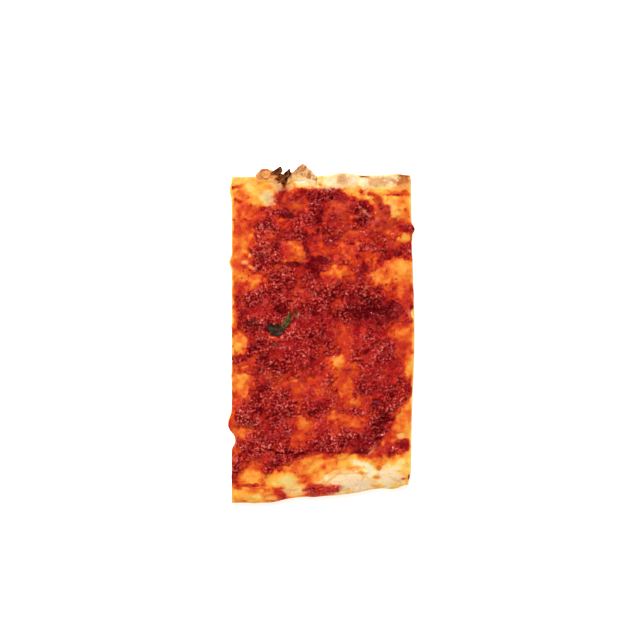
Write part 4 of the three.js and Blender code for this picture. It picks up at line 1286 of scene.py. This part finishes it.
def scatter(name, surface, where, finish, sizes, seed, stands_for, own_look=None):
    """Uneven lumps half sunk in a surface, denser where its channel is high. They keep its colours."""
    tree = bpy.data.node_groups.new(name, "GeometryNodeTree")
    nodes = Nodes(tree)
    tree.interface.new_socket("Surface", in_out="INPUT", socket_type="NodeSocketGeometry")
    tree.interface.new_socket("Lumps", in_out="OUTPUT", socket_type="NodeSocketGeometry")
    settings = {}
    for label, value in sizes.items():
        socket = tree.interface.new_socket(label, in_out="INPUT", socket_type="NodeSocketFloat")
        settings[socket.identifier] = value * MM if label != "Flatness" else value
    socket = tree.interface.new_socket("Seed", in_out="INPUT", socket_type="NodeSocketInt")
    settings[socket.identifier] = seed
    given = nodes.node("NodeGroupInput", output="Surface")

    named = {"Name": where}
    share = nodes.node("GeometryNodeInputNamedAttribute", {"data_type": "FLOAT"}, named, "Attribute")
    seeded = {"Seed": given.beside("Seed")}

    def chance(kind, low, high, inputs, output):
        limits = dict(zip(inputs, (low, high)))
        return nodes.node("FunctionNodeRandomValue", {"data_type": kind}, {**limits, **seeded}, output)

    spread = {"Distance Min": given.beside("Spacing"), "Density Max": DENSEST, "Density Factor": share}
    poisson = {"distribute_method": "POISSON"}
    every = {"Mesh": given, **spread, **seeded}
    dots = nodes.node("GeometryNodeDistributePointsOnFaces", poisson, every, "Points")
    for channel, value in (own_look or {}).items():
        dots = nodes.node(
            "GeometryNodeStoreNamedAttribute",
            {"data_type": "FLOAT", "domain": "POINT"},
            {"Geometry": dots, "Name": channel, "Value": value},
        )
    overall = chance("FLOAT", 0, 1, (2, 3), 1)
    overall = given.beside("Smallest") + (given.beside("Largest") - given.beside("Smallest")) * overall**2
    uneven = chance("FLOAT_VECTOR", (0.7, 0.7, 0.8), (1.3, 1.3, 1.2), (0, 1), 0)
    flatten = nodes.node("CombineXYZ", None, {"X": 1, "Y": 1, "Z": given.beside("Flatness")})
    uneven = nodes.node("VectorMath", {"operation": "MULTIPLY"}, {0: uneven, 1: flatten})
    scale = nodes.node("VectorMath", {"operation": "SCALE"}, {0: uneven, "Scale": overall})
    turn = chance("FLOAT_VECTOR", (-0.5, -0.5, 0), (0.5, 0.5, 6.3), (0, 1), 0)
    ball = nodes.node("GeometryNodeMeshIcoSphere", None, {"Radius": 1, "Subdivisions": 2}, "Mesh")
    placed = {"Points": dots, "Instance": ball, "Rotation": turn, "Scale": scale}
    lumps_on = nodes.node("GeometryNodeInstanceOnPoints", None, placed)
    solid = nodes.node("GeometryNodeRealizeInstances", None, {"Geometry": lumps_on})
    wobble = nodes.node("TexNoise", None, {"Scale": WOBBLE_SCALE, "Detail": 2}, "Color")
    wobble = nodes.node("VectorMath", {"operation": "SUBTRACT"}, {0: wobble, 1: (0.5, 0.5, 0.5)})
    wobble = nodes.node("VectorMath", {"operation": "SCALE"}, {0: wobble, "Scale": given.beside("Roughness")})
    solid = nodes.node("GeometryNodeSetPosition", None, {"Geometry": solid, "Offset": wobble})
    solid = nodes.node("GeometryNodeSetShadeSmooth", None, {0: solid})
    solid = nodes.node("GeometryNodeSetMaterial", None, {"Geometry": solid, "Material": finish})
    nodes.node("NodeGroupOutput", None, {"Lumps": solid})

    carpet = bpy.data.objects.new("carpet", surface.data)
    bpy.context.scene.collection.objects.link(carpet)
    modifier = carpet.modifiers.new("lumps", "NODES")
    modifier.node_group = tree
    for identifier, value in settings.items():
        modifier[identifier] = value
    evaluated = carpet.evaluated_get(bpy.context.evaluated_depsgraph_get())
    mesh = bpy.data.meshes.new_from_object(evaluated)
    mesh.name = name
    bpy.data.objects.remove(carpet)
    piece = bpy.data.objects.new(name, mesh)
    bpy.context.scene.collection.objects.link(piece)
    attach(piece, "root")
    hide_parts(*stands_for)
    return piece


STAIN_STOPS = (
    (0.0, rgb(255, 240, 208)),
    (0.14, rgb(255, 215, 118)),
    (0.28, rgb(255, 190, 78)),
    (0.42, rgb(255, 162, 60)),
    (0.56, rgb(240, 108, 36)),
    (0.72, rgb(214, 58, 24)),
    (0.88, rgb(190, 32, 26)),
    (1.0, rgb(166, 16, 22)),
)


def baked_finish(name, wet, glaze, **constants):
    """The face's colours: dough stained with oil and tomato, sauce, flour and char."""
    finish = Finish(name, **constants)
    patchy = finish.noise(3.2, 4, 0.6)
    fine = finish.noise(0.9, 3, 0.6)
    stain = finish.channel("stain")
    wander = (patchy - 0.5) * 0.34 + (fine - 0.5) * 0.16
    strength = finish.span(stain, 0.1, 0.7, 0.35, 1)
    tint = finish.ramp(stain + wander * strength, STAIN_STOPS)

    pulpy = finish.span(stain, 0.66, 0.9)
    grit_here = finish.channel("grit")
    # Painted shade: small dark gaps between grains of pulp, made from noise.
    gap_shade = finish.span(finish.noise(1.9, 3, 0.6), 0.5, 0.42) * grit_here
    depth = finish.channel("depth") + (fine - 0.5) * 0.5 + (patchy - 0.5) * 0.4
    hollow = finish.channel("hollow")
    # The sauce's dark: deep, concentrated sauce, plus painted shade in the relief's hollows and in the gaps
    # between grains.
    dark = finish.span(depth + hollow * 0.95 + gap_shade * 0.9, 0.1, 1.35) * pulpy
    tint = finish.blend(tint, colour(104, 0, 8), dark)
    # Painted highlight: the relief's tops made lighter and pinker.
    peak = finish.channel("peak")
    tint = finish.blend(tint, colour(214, 66, 48), peak * (1 - dark) * 0.45)
    # Pale pink flecks: partly tomato flesh and partly painted glints, stronger on the peaks.
    flesh_and_glints = finish.span(finish.noise(1.9, 3, 0.55), 0.53, 0.6) * grit_here
    tint = finish.blend(tint, colour(252, 134, 120), flesh_and_glints * (1 - dark) * pulpy * (0.4 + peak * 0.6))

    flour = finish.channel("flour") * finish.span(patchy + 0.4 * fine, 0.35, 0.75, 0.72, 1)
    toast = finish.specks(1.2, 0.1, 0.45) * finish.span(patchy, 0.36, 0.6)
    flour_tint = finish.blend(colour(255, 219, 174), colour(222, 156, 116), toast)
    tint = finish.blend(tint, flour_tint, flour)

    char = finish.channel("char")
    brown = finish.span(char + (fine - 0.5) * 0.5 * finish.span(char, 0.02, 0.2), 0.08, 0.75)
    browned = finish.blend(colour(156, 78, 30), colour(84, 12, 8), pulpy)
    tint = finish.blend(tint, browned, brown)
    tint = finish.blend(tint, colour(30, 12, 8), finish.span(char + (fine - 0.5) * 0.3, 0.62, 1.0))

    crumb = finish.channel("crumb")
    # The crumb is painted darker inside its holes, as painted shade.
    crumb_tint = finish.blend(colour(250, 228, 178), colour(216, 166, 102), hollow)
    tint = finish.blend(tint, crumb_tint, crumb)

    herb_tint = finish.blend(colour(58, 44, 22), colour(104, 92, 50), patchy)
    tint = finish.blend(tint, herb_tint, finish.channel("herb"))

    base = finish.channel("base")
    spots = finish.span(finish.noise(9, 4, 0.6), 0.5, 0.64)
    oven_floor = finish.blend(colour(206, 158, 98), colour(112, 66, 36), spots)
    dusting = finish.span(finish.noise(5, 5, 0.65), 0.5, 0.62, 0, 0.8)
    oven_floor = finish.blend(oven_floor, colour(240, 224, 194), dusting)
    tint = finish.blend(tint, oven_floor, base)

    dry = finish.span(flour + crumb + base + brown * 0.4, 0, 1)
    rough_skin = finish.span(fine, 0.3, 0.7, wet - 0.08, wet + 0.12)
    roughness = rough_skin + dry * 0.4
    grain = finish.bump(finish.noise(1.3, 3, 0.6) * (0.3 + 0.7 * grit_here), 1.3)
    skin = finish.bump(finish.noise(0.5, 2, 0.5), 0.15, grain)
    glints = finish.span(patchy, 0.36, 0.6) * finish.span(fine, 0.46, 0.6, 0, glaze)
    return finish.use(
        Base_Color=tint,
        Roughness=roughness,
        Coat_Weight=(1 - dry) * (1 - hollow) * glints,
        Normal=skin,
    )


crust_finish = baked_finish(
    "baked dough", 0.5, 0.26, Specular_IOR_Level=0.08, Coat_Roughness=0.25,
    Subsurface_Weight=0.3, Subsurface_Scale=0.002, Subsurface_Radius=(1, 0.5, 0.25),
)
sauce_finish = baked_finish(
    "cooked tomato pulp", 0.36, 0.5, Specular_IOR_Level=0.03, Coat_Roughness=0.1,
    Subsurface_Weight=0.35, Subsurface_Scale=0.0014, Subsurface_Radius=(1, 0.1, 0.06),
)

slab = make_crust(crust_finish)


def main_pulp(x, y):
    return inside_pulp(x, y) + ragged(x, y)


pulp = make_sauce(
    "tomato_pulp", sauce_finish, PULP_COLUMNS, PULP_ROWS, PULP_SPAN, main_pulp, ["tomato_sauce"],
)


def make_dab(name, lobes):
    """A dab of sauce of its own, on a grid that spans its lobes."""

    def depth_of(x, y):
        return inside_dab(lobes, x, y) + 0.6 * ragged(x, y)

    reach = [max(lobe[2:4]) + DAB_MARGIN for lobe in lobes]
    west = min(lobe[0] - r for lobe, r in zip(lobes, reach))
    east = max(lobe[0] + r for lobe, r in zip(lobes, reach))
    south = min(lobe[1] - r for lobe, r in zip(lobes, reach))
    north = max(lobe[1] + r for lobe, r in zip(lobes, reach))
    length = FAR_RIM - NEAR_RIM
    span = (
        max(0, (west + CUT_HALF_WIDTH) / (2 * CUT_HALF_WIDTH)),
        min(1, (east + CUT_HALF_WIDTH) / (2 * CUT_HALF_WIDTH)),
        max(0, (south - NEAR_RIM - DAB_SLACK[0]) / length),
        min(1, (north - NEAR_RIM + DAB_SLACK[1]) / length),
    )
    columns = int((east - west) / DAB_GRAIN)
    rows = int((span[3] - span[2]) * length / DAB_GRAIN)
    make_sauce("pulp_" + name, sauce_finish, columns, rows, span, depth_of, [name])


for dab, dab_lobes in SAUCE_DABS.items():
    make_dab(dab, dab_lobes)

make_tongues("blister_flaps", BLISTER_FLAPS, crust_finish, FLAP_THICKNESS, flap_look)
make_tongues("charred_scraps", CHARRED_SCRAPS, crust_finish, SCRAP_THICKNESS, scrap_look)


def basil_finish():
    finish = Finish("dark basil", Specular_IOR_Level=0.08, Coat_Weight=0.06, Coat_Roughness=0.3)
    mottle = finish.noise(2.2, 3)
    scorched = finish.span(finish.noise(3.4, 3), 0.45, 0.62)
    blade = finish.blend(colour(28, 20, 10), colour(62, 50, 30), finish.span(mottle, 0.44, 0.74))
    blade = finish.blend(blade, colour(66, 22, 16), scorched * 0.8)
    blade = finish.blend(blade, colour(112, 90, 58), finish.channel("vein") * 0.3)
    green = finish.blend(colour(58, 44, 20), colour(116, 98, 50), finish.span(mottle, 0.38, 0.62))
    tint = finish.blend(blade, green, finish.channel("folded") * 0.85)
    return finish.use(Base_Color=tint, Roughness=0.5, Normal=finish.bump(mottle, 0.4))


make_leaf(basil_finish())
scatter(
    "tomato_bits", slab, "bits", sauce_finish, STRAY_LUMPS, 5, ["tomato_sauce"],
    {"stain": 0.88, "depth": 0.1, "grit": 0},
)
scatter("pulp_grains", pulp, "grain", sauce_finish, PULP_LUMPS, 3, ["tomato_sauce"])


# ------------------------------------------------------------------ size, floor, light and camera
FLOOR_SIZE = 60
FLOOR_DROP = 0.0002
FLOOR_GLOW = 0.6
# The lights: place, size and power. The key stands beyond the far rim and the fill in front of the near one.
LIGHTS = {
    "key": ((-0.8, 2.0, 3.1), 1.1, 146),
    "fill": ((0.9, -2.6, 2.4), 2.4, 27),
}
LENS = 84
SENSOR = 36
# The picture's middle, the height of the face and how many metres of it the picture shows.
VIEW_MIDDLE = (-0.0012, 0.0106)
VIEW_HEIGHT = 0.01
VIEW_WIDTH = 0.512
HORIZON_GLOW = 0.95
RING_GLOW = 0.34
CEILING_GLOW = 0.02
HORIZON_TO = 0.16
CEILING_FROM = 0.5
CEILING_TO = 0.75


def make_floor():
    finish = Finish("pale floor", Roughness=0.9, Specular_IOR_Level=0.1, Emission_Strength=FLOOR_GLOW)
    finish.use(Base_Color=colour(250, 250, 250), Emission_Color=(1, 1, 1, 1))
    bpy.ops.mesh.primitive_plane_add(size=FLOOR_SIZE, location=(0, 0, -FLOOR_DROP))
    floor = bpy.context.object
    floor.name = "floor"
    floor.data.materials.append(finish.material)


def add_light(name, place_m, size_m, power):
    lamp = bpy.data.lights.new(name, "AREA")
    lamp.shape = "SQUARE"
    lamp.size = size_m
    lamp.energy = power
    light = bpy.data.objects.new(name, lamp)
    bpy.context.scene.collection.objects.link(light)
    light.location = place_m
    light.rotation_euler = (-Vector(place_m)).to_track_quat("-Z", "Y").to_euler()


def make_camera():
    """Straight above, with the slice's far rim at the top of the picture."""
    lens = bpy.data.cameras.new("camera")
    lens.lens = LENS
    lens.sensor_width = SENSOR
    camera = bpy.data.objects.new("camera", lens)
    bpy.context.scene.collection.objects.link(camera)
    camera.location = (*VIEW_MIDDLE, VIEW_HEIGHT + VIEW_WIDTH * LENS / SENSOR)
    bpy.context.scene.camera = camera


def make_world():
    """A bright ring round the table and a dark ceiling, so that wet sauce doesn't look hazy from above."""
    world = bpy.data.worlds.new("studio")
    world.use_nodes = True
    nodes = Nodes(world.node_tree)
    direction = nodes.node("TexCoord", output="Generated")
    upwards = nodes.node("SeparateXYZ", None, {"Vector": direction}, output="Z")
    ring = nodes.span(upwards, CEILING_FROM, CEILING_TO, RING_GLOW, CEILING_GLOW)
    glow = ring + nodes.span(upwards, HORIZON_TO / 2, HORIZON_TO, HORIZON_GLOW - RING_GLOW, 0)
    background = world.node_tree.nodes["Background"]
    nodes.feed(background.inputs["Strength"], glow)
    background.inputs["Color"].default_value = (1, 1, 1, 1)
    bpy.context.scene.world = world


make_floor()
for light_name, light_facts in LIGHTS.items():
    add_light(light_name, *light_facts)
make_camera()
make_world()
bpy.context.scene.view_settings.view_transform = "Standard"
